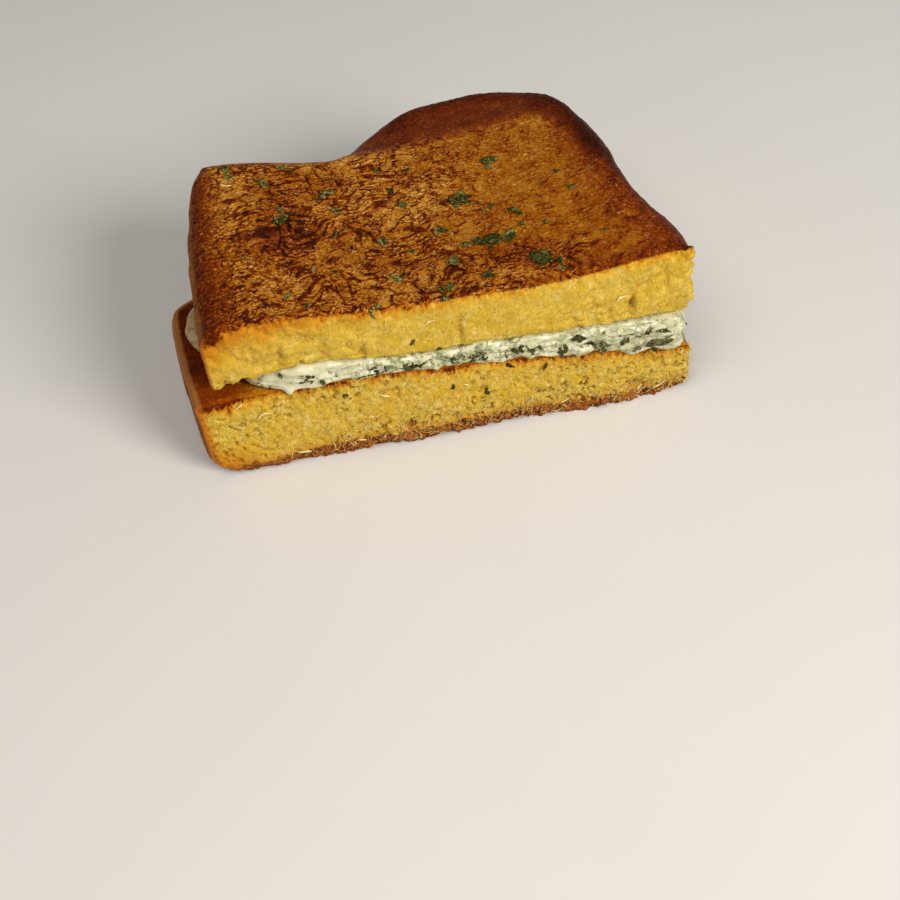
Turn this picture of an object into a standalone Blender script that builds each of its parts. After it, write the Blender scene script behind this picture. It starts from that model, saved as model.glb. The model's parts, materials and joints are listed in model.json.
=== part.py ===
"""Garlic toast: half of a fried bread sandwich, two thick slices with herb cream between them.

X runs along the cut face, +Y from the cut face to the crust behind, +Z up. The underside of the
lower slice lies on Z = 0 and the middle of the whole is over the origin. Lengths are in metres,
and the outlines and heights below are in millimetres, turned into metres by MM.
"""

import math
import random

import bmesh
import bpy
import numpy as np
from mathutils import Matrix, Vector, noise

MM = 0.001

# The middle of the whole and its underside, in the outlines' own coordinates. That point is
# moved to the origin.
MIDDLE = (-2.74, 5.81, -1.6)
GAP = 0.3

# Upper slice, seen from above: its crust from the front left corner round to the front right
# one, in three smooth stretches that meet at corners, and its cut face from right to left.
TOP_LEFT = ((-60.3, -36.6), (-60.8, -18.0), (-60.8, -3.0), (-59.6, 12.0), (-58.0, 24.0), (-55.0, 31.0))
TOP_BACK = ((-55.0, 31.0), (-47.0, 30.4), (-38.0, 28.8), (-28.0, 27.4), (-17.0, 27.4))
TOP_DOME = (
    (-17.0, 27.4), (-12.0, 34.2), (-5.0, 41.0), (3.0, 46.6), (13.0, 48.4), (24.0, 50.2),
    (32.5, 48.0), (39.0, 44.4), (44.6, 37.6), (49.0, 27.5), (52.6, 17.0), (54.5, 2.5),
    (56.4, -7.5), (59.5, -17.5), (62.0, -27.0), (62.6, -35.6),
)
TOP_CUT = ((62.6, -35.6), (40.0, -36.4), (15.0, -37.0), (-10.0, -36.2), (-36.0, -37.0), (-60.3, -36.6))

# Lower slice: it sticks out at the left, then tucks in under the upper one.
LOW_LEFT = (
    (-64.8, -37.2), (-67.5, -22.0), (-69.3, -8.0), (-69.0, 2.0), (-64.5, 8.5), (-60.6, 16.0),
    (-58.2, 26.0), (-54.0, 32.4),
)
LOW_BACK = ((-54.0, 32.4), (-44.0, 31.4), (-31.0, 29.0), (-18.5, 28.4))
LOW_DOME = (
    (-18.5, 28.4), (-12.0, 35.6), (-4.0, 41.4), (5.0, 45.6), (15.0, 46.8), (25.0, 47.8),
    (34.0, 46.0), (41.0, 41.0), (47.0, 32.0), (51.2, 21.0), (53.8, 8.0), (56.4, -7.0),
    (60.0, -19.0), (62.4, -28.0), (62.9, -36.0),
)
LOW_CUT = ((62.9, -36.0), (42.0, -36.9), (20.0, -36.3), (-4.0, -37.2), (-34.0, -36.6), (-64.8, -37.0))

# Cream: it swells out at the right end, tapers off at the left of the cut, and peeks out of the
# left side.
CREAM_RIM = (
    (-51.0, -35.6), (-56.5, -30.0), (-62.0, -24.0), (-64.8, -16.0), (-65.2, -9.0), (-63.6, -1.0),
    (-59.6, 6.0), (-56.6, 16.0), (-54.6, 25.6), (-48.0, 28.8), (-33.0, 26.2), (-18.0, 25.6),
    (-9.0, 33.4), (2.0, 41.8), (13.0, 44.8), (25.0, 45.8), (35.0, 43.4), (42.8, 36.0),
    (48.0, 25.0), (52.0, 12.0), (54.2, -2.0), (57.4, -12.0), (61.4, -20.0), (64.0, -27.0), (63.8, -33.6),
)
CREAM_CUT = (
    (63.8, -33.6), (61.6, -37.6), (52.0, -38.0), (38.0, -37.4), (24.0, -37.8), (10.0, -36.9),
    (-4.0, -36.2), (-16.0, -36.5), (-28.0, -37.5), (-41.0, -37.6), (-51.0, -35.6),
)

# Heights along X. The faces that touch the cream are the same curve on both sides of it.
TOP_HEIGHT = (
    (-62.0, 50.0), (-47.0, 50.0), (-34.0, 49.0), (-20.0, 46.8), (-7.0, 45.8), (8.0, 46.0),
    (22.0, 45.2), (36.0, 45.5), (50.0, 46.7), (63.0, 46.8),
)
CREAM_TOP = (
    (-70.0, 29.0), (-60.0, 29.2), (-51.0, 30.2), (-41.0, 33.0), (-28.0, 32.2), (-13.0, 29.6),
    (12.0, 29.2), (38.0, 27.3), (65.0, 25.4),
)
CREAM_BASE = (
    (-70.0, 27.4), (-60.0, 26.4), (-50.0, 25.7), (-27.0, 25.8), (0.0, 24.0), (25.0, 20.5),
    (45.0, 17.0), (65.0, 14.0),
)
SWELL = 0.7
SWELL_PITCH = 34.0

# The dome's crust falls away beyond this line, in a step at its left end that fades to the right.
SHOULDER_LINE = (
    (-22.0, 27.4), (-8.0, 25.0), (6.0, 26.6), (20.0, 29.6), (34.0, 30.8), (43.0, 24.0), (50.0, -8.0),
)
SHOULDER_DROP = 3.6
SHOULDER_END = 47.0

# Rounding of each slice's rims: how far in from the edge it reaches, and how deep.
TOP_RIM = {"left": (8.5, 6.0), "back": (4.5, 3.5), "dome": (6.0, 4.6), "cut": (1.3, 1.3)}
TOP_UNDER = {"left": (1.8, 1.8), "back": (2.5, 2.5), "dome": (3.0, 3.0), "cut": (1.0, 1.0)}
LOW_RIM = {"left": (3.0, 3.0), "back": (2.5, 2.5), "dome": (2.5, 2.5), "cut": (1.0, 1.0)}
LOW_UNDER = {"left": (9.0, 10.0), "back": (5.0, 5.0), "dome": (6.0, 5.5), "cut": (1.4, 1.4)}
CREAM_EDGE = 3.0

# Relief, as heights.
CRUMB_RELIEF = 1.0
CRUST_RELIEF = 0.5
RAGGED_EDGE = 1.2

# Each piece starts as a prism this thick. Then its mesh cell and the share of triangles kept.
FLAT_THICKNESS = 16.0
TOP_CELL, TOP_SHARE = 2.7, 0.66
LOW_CELL, LOW_SHARE = 2.9, 0.6
CREAM_CELL, CREAM_SHARE = 3.1, 0.72

# Herb clusters on the top: middle, number of flakes and spread.
HERB_CLUSTERS = (
    (-35, 0, 5, 3.2), (-48, 24, 3, 2.6), (-32, 22, 2, 4.0), (-22, -4, 3, 4.5), (-11, -12, 2, 2.5),
    (-3, 10, 2, 6.0), (10, 0, 4, 2.6), (20, 12, 2, 3.0), (14, -20, 6, 3.4), (26, -28, 5, 3.6),
    (20, -7, 4, 5.0), (36, 3, 2, 4.0), (-34, -28, 2, 6.0), (-6, -30, 3, 8.0), (-46, -6, 2, 5.0),
)
HERBS_ON_UPPER_CUT = ((-9.0, 42.0), (30.0, 39.0), (-30.0, 36.5), (5.0, 34.0))
HERBS_ON_LOWER_CUT = ((-1.0, 21.5), (9.0, 17.0), (19.0, 15.0), (-22.0, 12.0))
HERBS_IN_CREAM = 20


def smooth_line(knots, step=1.2):
    """Points about one step apart along a smooth curve through the knots."""
    knots = [np.array(knot, float) for knot in knots]
    ends = [2 * knots[0] - knots[1]] + knots + [2 * knots[-1] - knots[-2]]
    points = []
    for before, start, end, after in zip(ends, ends[1:], ends[2:], ends[3:]):
        count = max(2, round(np.linalg.norm(end - start) / step))
        for t in np.arange(count) / count:
            points.append(
                0.5
                * (
                    2 * start
                    + (end - before) * t
                    + (2 * before - 5 * start + 4 * end - after) * t**2
                    + (3 * start - before - 3 * end + after) * t**3
                )
            )
    points.append(knots[-1])
    return np.array(points)


def height_along(knots, x):
    curve = smooth_line(knots)
    return np.interp(x, curve[:, 0], curve[:, 1])


def ripple(x, y, z=0.0, pitch=10.0, seed=0.0):
    """Soft noise between about -1 and 1 with bumps about one pitch apart."""
    return noise.noise(Vector((x / pitch + seed, y / pitch - seed, z / pitch + 3 * seed)))


def ripples(points, pitch, seed):
    return np.array([ripple(*point, pitch=pitch, seed=seed) for point in points])


def smoothstep(value, low, high):
    t = np.clip((value - low) / (high - low), 0, 1)
    return t * t * (3 - 2 * t)


def nearest_on(points, line):
    """Distance to the line, inward direction and place along it from 0 to 1, for each point."""
    start, run = line[:-1], line[1:] - line[:-1]
    length = np.linalg.norm(run, axis=1)
    inward = np.c_[run[:, 1], -run[:, 0]] / length[:, None]
    offset = points[:, None, :2] - start[None]
    t = np.clip((offset * run).sum(2) / length**2, 0, 1)
    away = offset - t[..., None] * run
    distance = np.linalg.norm(away, axis=2)
    best = distance.argmin(1)
    row = np.arange(len(points))
    direction = away[row, best] + 0.4 * inward[best]
    direction /= np.linalg.norm(direction, axis=1)[:, None]
    along = (best + t[row, best]) / len(length)
    return distance[row, best], direction, along


def interface(knots, points):
    return height_along(knots, points[:, 0]) + SWELL * ripples(
        points[:, :2], SWELL_PITCH, seed=2.3
    )


def shoulder(points):
    """How far the top falls beyond the shoulder line, over the dome."""
    line = smooth_line(SHOULDER_LINE)
    distance, _, _ = nearest_on(points, line)
    beyond = np.array([is_beyond(point, line) for point in points])
    signed = np.where(beyond, distance, -distance)
    fade = smoothstep(points[:, 0], -24, 6)
    width = 4 + 11 * fade
    drop = SHOULDER_DROP * (1 - 0.55 * fade) * (1 - smoothstep(points[:, 0], 36, SHOULDER_END))
    return drop * smoothstep(signed, -1.5, width)


def is_beyond(point, line):
    """Whether a point lies on the dome's side of the shoulder line."""
    nearest = np.linalg.norm(line - point[:2], axis=1).argmin()
    nearest = min(max(nearest, 1), len(line) - 2)
    run = line[nearest + 1] - line[nearest - 1]
    offset = point[:2] - line[nearest]
    return run[0] * offset[1] - run[1] * offset[0] > 0 and point[0] > -24


def top_surface(points):
    swell = 0.6 * ripples(points[:, :2], 26.0, seed=7.1)
    return height_along(TOP_HEIGHT, points[:, 0]) + swell - shoulder(points)


def rounded(points, surface, line, sizes, side):
    """Rounds a rim: side +1 for the upper one, -1 for the lower one.

    A point outside the ellipse that the rim's section follows moves onto it.
    """
    distance, direction, along = nearest_on(points, line)
    reach, depth = sizes(along)
    below = side * (surface - points[:, 2])
    across = np.clip((reach - distance) / reach, 0, None)
    up = np.clip((depth - below) / depth, 0, None)
    length = np.maximum(np.hypot(across, up), 1e-9)
    outside = (length > 1) & (across > 0) & (up > 0)
    scale = np.where(outside, 1 - 1 / length, 0)
    points[:, :2] += direction * (reach * across * scale)[:, None]
    points[:, 2] -= side * depth * up * scale


def rim_sizes(rim, stretches):
    """The rounding along a crust that is made of named stretches, blended where they meet."""
    lengths = np.array([len(points) - 1 for _, points in stretches])
    middles = (np.cumsum(lengths) - lengths / 2) / lengths.sum()
    reach = [rim[name][0] for name, _ in stretches]
    depth = [rim[name][1] for name, _ in stretches]

    def sizes(along):
        return np.interp(along, middles, reach), np.interp(along, middles, depth)

    return sizes


def even_rim(reach, depth):
    def sizes(along):
        return np.full(len(along), reach), np.full(len(along), depth)

    return sizes


def applied(obj):
    """Replaces the object's mesh with what its modifiers make of it."""
    bpy.context.view_layer.update()
    graph = bpy.context.evaluated_depsgraph_get()
    mesh = bpy.data.meshes.new_from_object(obj.evaluated_get(graph))
    obj.modifiers.clear()
    obj.data = mesh


def flat_prism(name, outline, thickness, cell):
    """An even mesh of the outline's prism, still flat."""
    mesh = bpy.data.meshes.new(name)
    body = bmesh.new()
    ring = [body.verts.new((x, y, 0)) for x, y in outline]
    base = body.faces.new(ring)
    raised = bmesh.ops.extrude_face_region(body, geom=[base])["geom"]
    top = [item for item in raised if isinstance(item, bmesh.types.BMVert)]
    bmesh.ops.translate(body, verts=top, vec=(0, 0, thickness))
    bmesh.ops.recalc_face_normals(body, faces=body.faces)
    body.to_mesh(mesh)
    body.free()
    obj = bpy.data.objects.new(name, mesh)
    bpy.context.scene.collection.objects.link(obj)
    remesh = obj.modifiers.new("even_cells", "REMESH")
    remesh.mode = "VOXEL"
    remesh.voxel_size = cell
    applied(obj)
    return obj


def points_of(obj):
    points = np.empty(len(obj.data.vertices) * 3)
    obj.data.vertices.foreach_get("co", points)
    return points.reshape(-1, 3)


def set_points(obj, points):
    obj.data.vertices.foreach_set("co", np.asarray(points, np.float32).ravel())
    obj.data.update()


def thin_out(obj, share):
    decimate = obj.modifiers.new("fewer_faces", "DECIMATE")
    decimate.ratio = share
    decimate.use_collapse_triangulate = True
    applied(obj)


def stretch_between(points, low, high):
    """Moves a flat prism's points to the same share of the height between two surfaces."""
    share = np.clip((points[:, 2] / FLAT_THICKNESS - 0.03) / 0.94, 0, 1)
    points[:, 2] = low + share * (high - low)


def roughen_cut(points, cut_line, height, seed):
    """Porous relief on the cut face, deeper where a crumb has torn away."""
    distance, direction, _ = nearest_on(points, cut_line)
    share = 1 - smoothstep(distance, 0.5, 2.5)
    fine = ripples(points, 5.5, seed)
    torn = np.clip(ripples(points, 14.0, seed + 4) - 0.25, 0, None)
    points[:, :2] += direction * (share * height * (0.5 * fine + 2.0 * torn))[:, None]


def slice_body(name, stretches, cut, low, high, upper, under, cell):
    """A slice between two surfaces, with its rims rounded. Returns it and its points."""
    crust = np.concatenate([points[:-1] for _, points in stretches] + [stretches[-1][1][-1:]])
    outline = np.concatenate([crust[:-1], cut[:-1]])
    obj = flat_prism(name, outline, FLAT_THICKNESS, cell)
    points = points_of(obj)
    stretch_between(points, low(points), high(points))
    rounded(points, high(points), crust, rim_sizes(upper, stretches), 1)
    rounded(points, low(points), crust, rim_sizes(under, stretches), -1)
    rounded(points, high(points), cut, even_rim(*upper["cut"]), 1)
    rounded(points, low(points), cut, even_rim(*under["cut"]), -1)
    return obj, points


def make_top():
    stretches = [
        ("left", smooth_line(TOP_LEFT)),
        ("back", smooth_line(TOP_BACK)),
        ("dome", smooth_line(TOP_DOME)),
    ]
    cut = smooth_line(TOP_CUT)

    def low(points):
        return interface(CREAM_TOP, points)

    obj, points = slice_body(
        "top_toast", stretches, cut, low, top_surface, TOP_RIM, TOP_UNDER, TOP_CELL
    )
    roughen_cut(points, cut, CRUMB_RELIEF, seed=1.7)
    height = points[:, 2] - low(points)
    share = smoothstep(height, 4, 10) * (1 - 0.6 * smoothstep(points[:, 0], 0, 30))
    points[:, 2] += share * CRUST_RELIEF * ripples(points, 6.5, seed=9.2)
    set_points(obj, points)
    thin_out(obj, TOP_SHARE)
    return obj


def make_bottom():
    stretches = [
        ("left", smooth_line(LOW_LEFT)),
        ("back", smooth_line(LOW_BACK)),
        ("dome", smooth_line(LOW_DOME)),
    ]
    cut = smooth_line(LOW_CUT)

    def low(points):
        return np.full(len(points), MIDDLE[2])

    def high(points):
        return interface(CREAM_BASE, points)

    obj, points = slice_body(
        "bottom_toast", stretches, cut, low, high, LOW_RIM, LOW_UNDER, LOW_CELL
    )
    roughen_cut(points, cut, CRUMB_RELIEF, seed=5.3)
    ragged_foot(points, cut)
    set_points(obj, points)
    thin_out(obj, LOW_SHARE)
    return obj


def ragged_foot(points, cut):
    """The cut face's lower edge is frayed: it is lifted here and there."""
    distance, _, _ = nearest_on(points, cut)
    near = (1 - smoothstep(distance, 0.5, 4.0)) * (1 - smoothstep(points[:, 2], 0.0, 4.0))
    lift = np.clip(ripples(points * (1, 0, 0), 4.5, seed=6.4) + 0.2, 0, None)
    points[:, 2] += near * RAGGED_EDGE * lift


def make_cream():
    rim = smooth_line(CREAM_RIM)
    cut = smooth_line(CREAM_CUT)
    outline = np.concatenate([rim[:-1], cut[:-1]])
    obj = flat_prism("garlic_cream", outline, FLAT_THICKNESS, CREAM_CELL)
    points = points_of(obj)
    low = interface(CREAM_BASE, points) + GAP
    high = interface(CREAM_TOP, points) - GAP
    stretch_between(points, low, high)
    edge = np.concatenate([rim, cut[1:]])
    _, _, along = nearest_on(points, edge)

    def sizes(_):
        return np.full(len(points), CREAM_EDGE), (high - low) * 0.46

    rounded(points, high, edge, sizes, 1)
    rounded(points, low, edge, sizes, -1)
    distance, direction, _ = nearest_on(points, edge)
    wave = (1 - smoothstep(distance, 0.2, 2.0)) * ripples(points, 8.0, seed=4.4)
    points[:, :2] -= direction * (0.7 * wave)[:, None]
    set_points(obj, points)
    thin_out(obj, CREAM_SHARE)
    return obj


def leaf_flake(name, place, normal, size, rng):
    """A torn herb leaf: a thin wavy solid whose outline has three to four lobes."""
    sides = 7
    thick = 0.5
    lobes = rng.choice((2, 3))
    phase = rng.uniform(0, math.tau)
    long = rng.uniform(1.0, 1.7)
    bend = rng.uniform(-0.35, 0.35)
    body = bmesh.new()
    rings = []
    for level in (-thick / 2, thick / 2):
        ring = []
        for i in range(sides):
            angle = math.tau * i / sides
            radius = size / 2 * (1 + 0.32 * math.sin(lobes * angle + phase))
            x = radius * math.cos(angle) * long
            y = radius * math.sin(angle) / long
            ring.append(body.verts.new((x, y, level + bend * math.sin(2 * angle + phase))))
        rings.append(ring)
    middles = [body.verts.new((0, 0, -thick / 2 - 0.2)), body.verts.new((0, 0, thick / 2 + 0.1))]
    for i in range(sides):
        j = (i + 1) % sides
        body.faces.new((rings[1][i], rings[1][j], middles[1]))
        body.faces.new((rings[0][j], rings[0][i], middles[0]))
        body.faces.new((rings[0][i], rings[0][j], rings[1][j]))
        body.faces.new((rings[0][i], rings[1][j], rings[1][i]))
    turn = normal.to_track_quat("Z", "Y").to_matrix().to_4x4()
    spin = Matrix.Rotation(rng.uniform(0, math.tau), 4, "Z")
    body.transform(Matrix.Translation(place) @ turn @ spin)
    mesh = bpy.data.meshes.new(name)
    body.to_mesh(mesh)
    body.free()
    return bpy.data.objects.new(name, mesh)


def dropped_on(obj, x, y):
    hit, place, normal, _ = obj.ray_cast(Vector((x, y, 90)), Vector((0, 0, -1)))
    return (place, normal) if hit else (None, None)


def pushed_on(obj, x, z):
    hit, place, normal, _ = obj.ray_cast(Vector((x, -60, z)), Vector((0, 1, 0)))
    return (place, normal) if hit else (None, None)


def fuse(obj, flakes, name):
    """One union of the body and every flake on it."""
    group = bpy.data.collections.new(name)
    bpy.context.scene.collection.children.link(group)
    for flake in flakes:
        group.objects.link(flake)
    union = obj.modifiers.new("flakes", "BOOLEAN")
    union.operation = "UNION"
    union.operand_type = "COLLECTION"
    union.collection = group
    union.solver = "EXACT"
    applied(obj)
    for flake in flakes:
        bpy.data.objects.remove(flake)
    bpy.data.collections.remove(group)


def herbs_for_top(obj):
    rng = random.Random(11)
    flakes = []
    for x, y, count, spread in HERB_CLUSTERS:
        for _ in range(count):
            place, normal = dropped_on(obj, x + rng.gauss(0, spread / 2), y + rng.gauss(0, spread / 2))
            if place:
                size = rng.uniform(1.9, 3.6)
                flakes.append(leaf_flake("flake", place + 0.1 * normal, normal, size, rng))
    flakes += cut_flakes(obj, HERBS_ON_UPPER_CUT, rng)
    return flakes


def cut_flakes(obj, places, rng):
    flakes = []
    for x, z in places:
        place, normal = pushed_on(obj, x, z)
        if place:
            flakes.append(leaf_flake("flake", place + 0.1 * normal, normal, rng.uniform(1.6, 2.4), rng))
    return flakes


def herbs_for_cream(obj):
    """Herb pieces along the cut, no larger than the cream is thick there."""
    rng = random.Random(5)
    flakes = []
    for i in range(HERBS_IN_CREAM):
        x = -40 + 102 * (i + rng.uniform(0.2, 0.8)) / HERBS_IN_CREAM
        low = float(height_along(CREAM_BASE, x))
        high = float(height_along(CREAM_TOP, x))
        size = min(3.4, 0.42 * (high - low))
        z = low + (high - low) * rng.uniform(0.42, 0.58)
        place, normal = pushed_on(obj, x, z)
        if place:
            flakes.append(leaf_flake("flake", place, normal, size, rng))
    return flakes


def dress(obj, colour, roughness):
    material = bpy.data.materials.new(obj.name)
    material.use_nodes = True
    shader = material.node_tree.nodes["Principled BSDF"]
    shader.inputs["Base Color"].default_value = (*colour, 1)
    shader.inputs["Roughness"].default_value = roughness
    shader.inputs["Metallic"].default_value = 0
    obj.data.materials.clear()
    obj.data.materials.append(material)
    obj.data.shade_smooth()
    obj.data.set_sharp_from_angle(angle=math.radians(35))


def to_metres(obj):
    set_points(obj, (points_of(obj) - MIDDLE) * MM)


def main():
    for obj in list(bpy.data.objects):
        bpy.data.objects.remove(obj)
    bottom = make_bottom()
    cream = make_cream()
    top = make_top()
    fuse(bottom, cut_flakes(bottom, HERBS_ON_LOWER_CUT, random.Random(3)), "bottom_flakes")
    fuse(cream, herbs_for_cream(cream), "cream_flakes")
    fuse(top, herbs_for_top(top), "top_flakes")
    for obj in (bottom, cream, top):
        to_metres(obj)
    dress(bottom, (0.58, 0.34, 0.07), 0.75)
    dress(cream, (0.80, 0.76, 0.55), 0.35)
    dress(top, (0.33, 0.13, 0.02), 0.45)


main()
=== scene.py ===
"""Garlic toast: half of a fried bread sandwich with herb cream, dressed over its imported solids.

The outlines and heights are in millimetres, in the coordinates that the sandwich was laid out in.
MIDDLE is the point of them that lies at the frame's origin.
"""

import json
import math
import random

import bmesh
import bpy
import numpy as np
from bpy.props import FloatProperty, FloatVectorProperty, IntProperty, PointerProperty
from mathutils import Matrix, Vector, noise
from mathutils.kdtree import KDTree

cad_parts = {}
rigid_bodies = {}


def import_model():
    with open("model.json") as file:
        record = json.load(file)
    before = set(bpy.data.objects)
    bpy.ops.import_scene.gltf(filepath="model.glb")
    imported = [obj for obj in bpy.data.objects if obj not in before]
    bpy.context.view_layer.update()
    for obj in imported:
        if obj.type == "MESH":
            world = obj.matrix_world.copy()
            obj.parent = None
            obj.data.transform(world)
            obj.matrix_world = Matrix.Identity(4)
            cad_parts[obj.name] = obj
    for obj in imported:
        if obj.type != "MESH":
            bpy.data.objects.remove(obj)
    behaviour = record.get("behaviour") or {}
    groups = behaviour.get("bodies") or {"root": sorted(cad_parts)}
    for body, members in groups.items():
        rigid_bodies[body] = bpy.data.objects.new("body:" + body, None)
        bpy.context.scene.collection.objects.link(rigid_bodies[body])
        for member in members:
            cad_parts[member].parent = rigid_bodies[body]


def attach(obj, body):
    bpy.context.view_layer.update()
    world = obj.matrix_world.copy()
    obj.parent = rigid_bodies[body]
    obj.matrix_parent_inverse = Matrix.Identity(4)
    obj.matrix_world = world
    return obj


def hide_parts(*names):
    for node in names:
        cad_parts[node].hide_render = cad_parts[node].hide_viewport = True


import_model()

bl_info = {
    "name": "Garlic toast",
    "version": (1, 0, 0),
    "blender": (4, 5, 0),
    "location": "3D View > Sidebar > Toast",
    "description": "Fried bread slices, herb cream, herbs and a plain studio around them",
    "category": "Object",
}

MM = 0.001
MIDDLE = np.array((-2.74, 5.81, -1.6))
BODY = "root"
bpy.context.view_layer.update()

# Plan outlines: the crust clockwise from the front left corner, in stretches that meet at
# corners, then the cut face from right to left.
TOP_CRUST = {
    "left": (
        (-60.3, -36.6), (-60.8, -18.0), (-60.8, -3.0), (-59.6, 12.0), (-58.0, 24.0), (-55.0, 31.0),
    ),
    "back": ((-55.0, 31.0), (-47.0, 30.4), (-38.0, 28.8), (-29.0, 27.5), (-19.6, 27.3)),
    "dome": (
        (-19.6, 27.3), (-14.6, 33.6), (-6.8, 41.0), (2.2, 47.2), (12.6, 49.6), (24.0, 51.3),
        (33.2, 49.2), (40.2, 45.4), (46.0, 38.4), (50.2, 28.2), (53.3, 17.0), (54.6, 2.4),
        (56.3, -7.6), (59.5, -17.4), (62.2, -26.6), (62.8, -35.6),
    ),
}
TOP_CUT = (
    (62.6, -35.6), (40.0, -36.4), (15.0, -37.0), (-10.0, -36.2), (-36.0, -37.0), (-60.3, -36.6),
)
LOW_CRUST = {
    "left": (
        (-65.8, -37.2), (-68.3, -22.0), (-69.6, -8.0), (-69.4, -1.0), (-66.6, 2.2), (-62.6, 5.4),
        (-60.4, 14.0), (-58.2, 26.0), (-54.0, 32.4),
    ),
    "back": ((-54.0, 32.4), (-44.0, 31.4), (-31.0, 29.0), (-18.5, 28.4)),
    "dome": (
        (-18.5, 28.4), (-12.0, 35.6), (-4.0, 41.4), (5.0, 45.6), (15.0, 46.8), (25.0, 47.8),
        (34.0, 46.0), (41.0, 41.0), (47.0, 32.0), (51.2, 21.0), (53.8, 8.0), (56.4, -7.0),
        (60.0, -19.0), (62.4, -28.0), (62.9, -36.0),
    ),
}
LOW_CUT = (
    (62.9, -36.0), (42.0, -36.9), (20.0, -36.3), (-4.0, -37.2), (-34.0, -36.6), (-65.8, -37.2),
)
CREAM_RIM = (
    (-47.6, -35.8), (-52.6, -30.0), (-56.8, -24.8), (-61.2, -19.6), (-64.4, -15.0), (-65.2, -10.0),
    (-63.8, -4.6), (-60.4, -0.6), (-58.0, 6.0), (-56.6, 16.0), (-54.6, 25.6), (-48.0, 28.8),
    (-33.0, 26.2), (-18.0, 25.6), (-9.0, 33.4), (2.0, 41.8), (13.0, 44.8), (25.0, 45.8),
    (35.0, 43.4), (42.8, 36.0), (48.0, 25.0), (52.0, 12.0), (54.2, -2.0), (57.0, -12.0),
    (59.8, -20.0), (61.8, -27.0), (61.4, -33.4),
)
CREAM_CUT = (
    (61.2, -33.6), (59.6, -37.4), (52.0, -37.8), (38.0, -37.5), (24.0, -37.9), (10.0, -37.5),
    (-4.0, -37.5), (-16.0, -37.6), (-28.0, -37.9), (-40.0, -37.6), (-47.6, -35.8),
)

# Heights along X. The faces that touch the cream are the same curve on both sides of it.
TOP_HEIGHT = (
    (-62.0, 50.0), (-47.0, 50.0), (-34.0, 49.0), (-20.0, 46.8), (-7.0, 45.8), (8.0, 46.0),
    (22.0, 45.2), (36.0, 45.5), (50.0, 46.7), (63.0, 46.8),
)
CREAM_TOP = (
    (-70.0, 29.0), (-60.0, 29.2), (-51.0, 30.2), (-41.0, 33.0), (-28.0, 32.2), (-13.0, 29.6),
    (12.0, 29.2), (38.0, 27.3), (65.0, 25.4),
)
CREAM_BASE = (
    (-70.0, 27.4), (-60.0, 26.4), (-50.0, 25.7), (-27.0, 25.8), (0.0, 24.0), (25.0, 20.5),
    (45.0, 17.0), (65.0, 14.0),
)
# The faces that touch the cream swell by this much, over this pitch.
SWELL = 0.7
SWELL_PITCH = 34.0
# Beyond this line, in plan, the top drops towards the dome's crust.
SHOULDER_LINE = (
    (-22.0, 27.4), (-8.0, 25.0), (6.0, 26.6), (20.0, 29.6), (34.0, 30.8), (43.0, 24.0), (50.0, -8.0),
)
SHOULDER_DROP = 3.6
SHOULDER_START, SHOULDER_END = -24, 47.0

# Rounding of each slice's rims: how far in from the edge it reaches, and how deep.
TOP_RIM = {"left": (8.5, 6.0), "back": (4.5, 3.5), "dome": (6.0, 4.6), "cut": (2.4, 2.0)}
TOP_UNDER = {"left": (1.8, 1.8), "back": (2.5, 2.5), "dome": (3.0, 3.0), "cut": (1.0, 1.0)}
LOW_RIM = {"left": (3.0, 3.0), "back": (2.5, 2.5), "dome": (2.5, 2.5), "cut": (1.0, 1.0)}
LOW_UNDER = {"left": (13.0, 11.5), "back": (5.0, 5.0), "dome": (6.0, 5.5), "cut": (1.4, 1.4)}
CREAM_EDGE = 3.0
CREAM_CUT_EDGE = 0.9
# Room left between the cream and each slice.
GAP = 0.3
# Thickness of the flat meshes before they are bent to their surfaces.
FLAT_THICKNESS = 16.0
FLAT_CREAM = 8.0
# Drips on the cream's lower edge: place along the cut, half width, and drop.
DRIPS = ((-41.6, 1.1, 1.3), (-4.0, 1.0, 1.0), (20.0, 1.4, 0.8), (46.0, 2.2, 0.8))
# Small pieces keep within these corners.
PIECES_FROM = (-71.0, -40.9, -1.5)
PIECES_TO = (67.0, 51.5, 52.0)
# Where the rays start that find a place on a surface, and the height that parts the two cut faces.
AHEAD, ABOVE, TO_RIGHT = -60.0, 90.0, 90.0
PARTING = 28
# Y that a slice's cut face, the cream's cut, and the cream's finer faces there lie in front of.
CUT_BEFORE, CREAM_BEFORE, FINE_BEFORE = -33, -30, -28
# X that the upper slice's left end lies to the left of.
LEFT_END = -50

# Torn slits in the cut faces: middle, half width, half height and depth of each.
TOP_TEARS = (
    (2.6, 34.0, 0.9, 4.0, 1.1), (41.0, 31.0, 1.0, 2.6, 0.8), (-22.0, 33.5, 0.8, 2.8, 1.2),
    (-42.0, 38.0, 0.7, 3.0, 1.0), (-55.0, 29.5, 1.4, 1.6, 2.6), (-51.5, 30.0, 0.8, 1.4, 1.8),
    (46.8, 31.6, 0.8, 2.6, 1.3), (37.5, 33.4, 2.6, 0.7, 0.6), (55.6, 37.6, 0.8, 2.2, 1.0),
    (29.5, 31.4, 3.0, 0.6, 0.5), (51.5, 42.0, 2.2, 0.7, 0.5),
)
LOW_TEARS = (
    (-12.6, 4.8, 1.2, 1.2, 3.0), (48.0, 4.0, 3.0, 1.6, 1.2), (-51.0, 25.0, 6.0, 1.2, 1.8),
    (-46.0, 22.5, 1.6, 0.7, 0.9), (22.0, 7.0, 1.0, 0.8, 1.2), (34.0, 9.5, 0.8, 1.0, 1.0),
)
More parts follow.
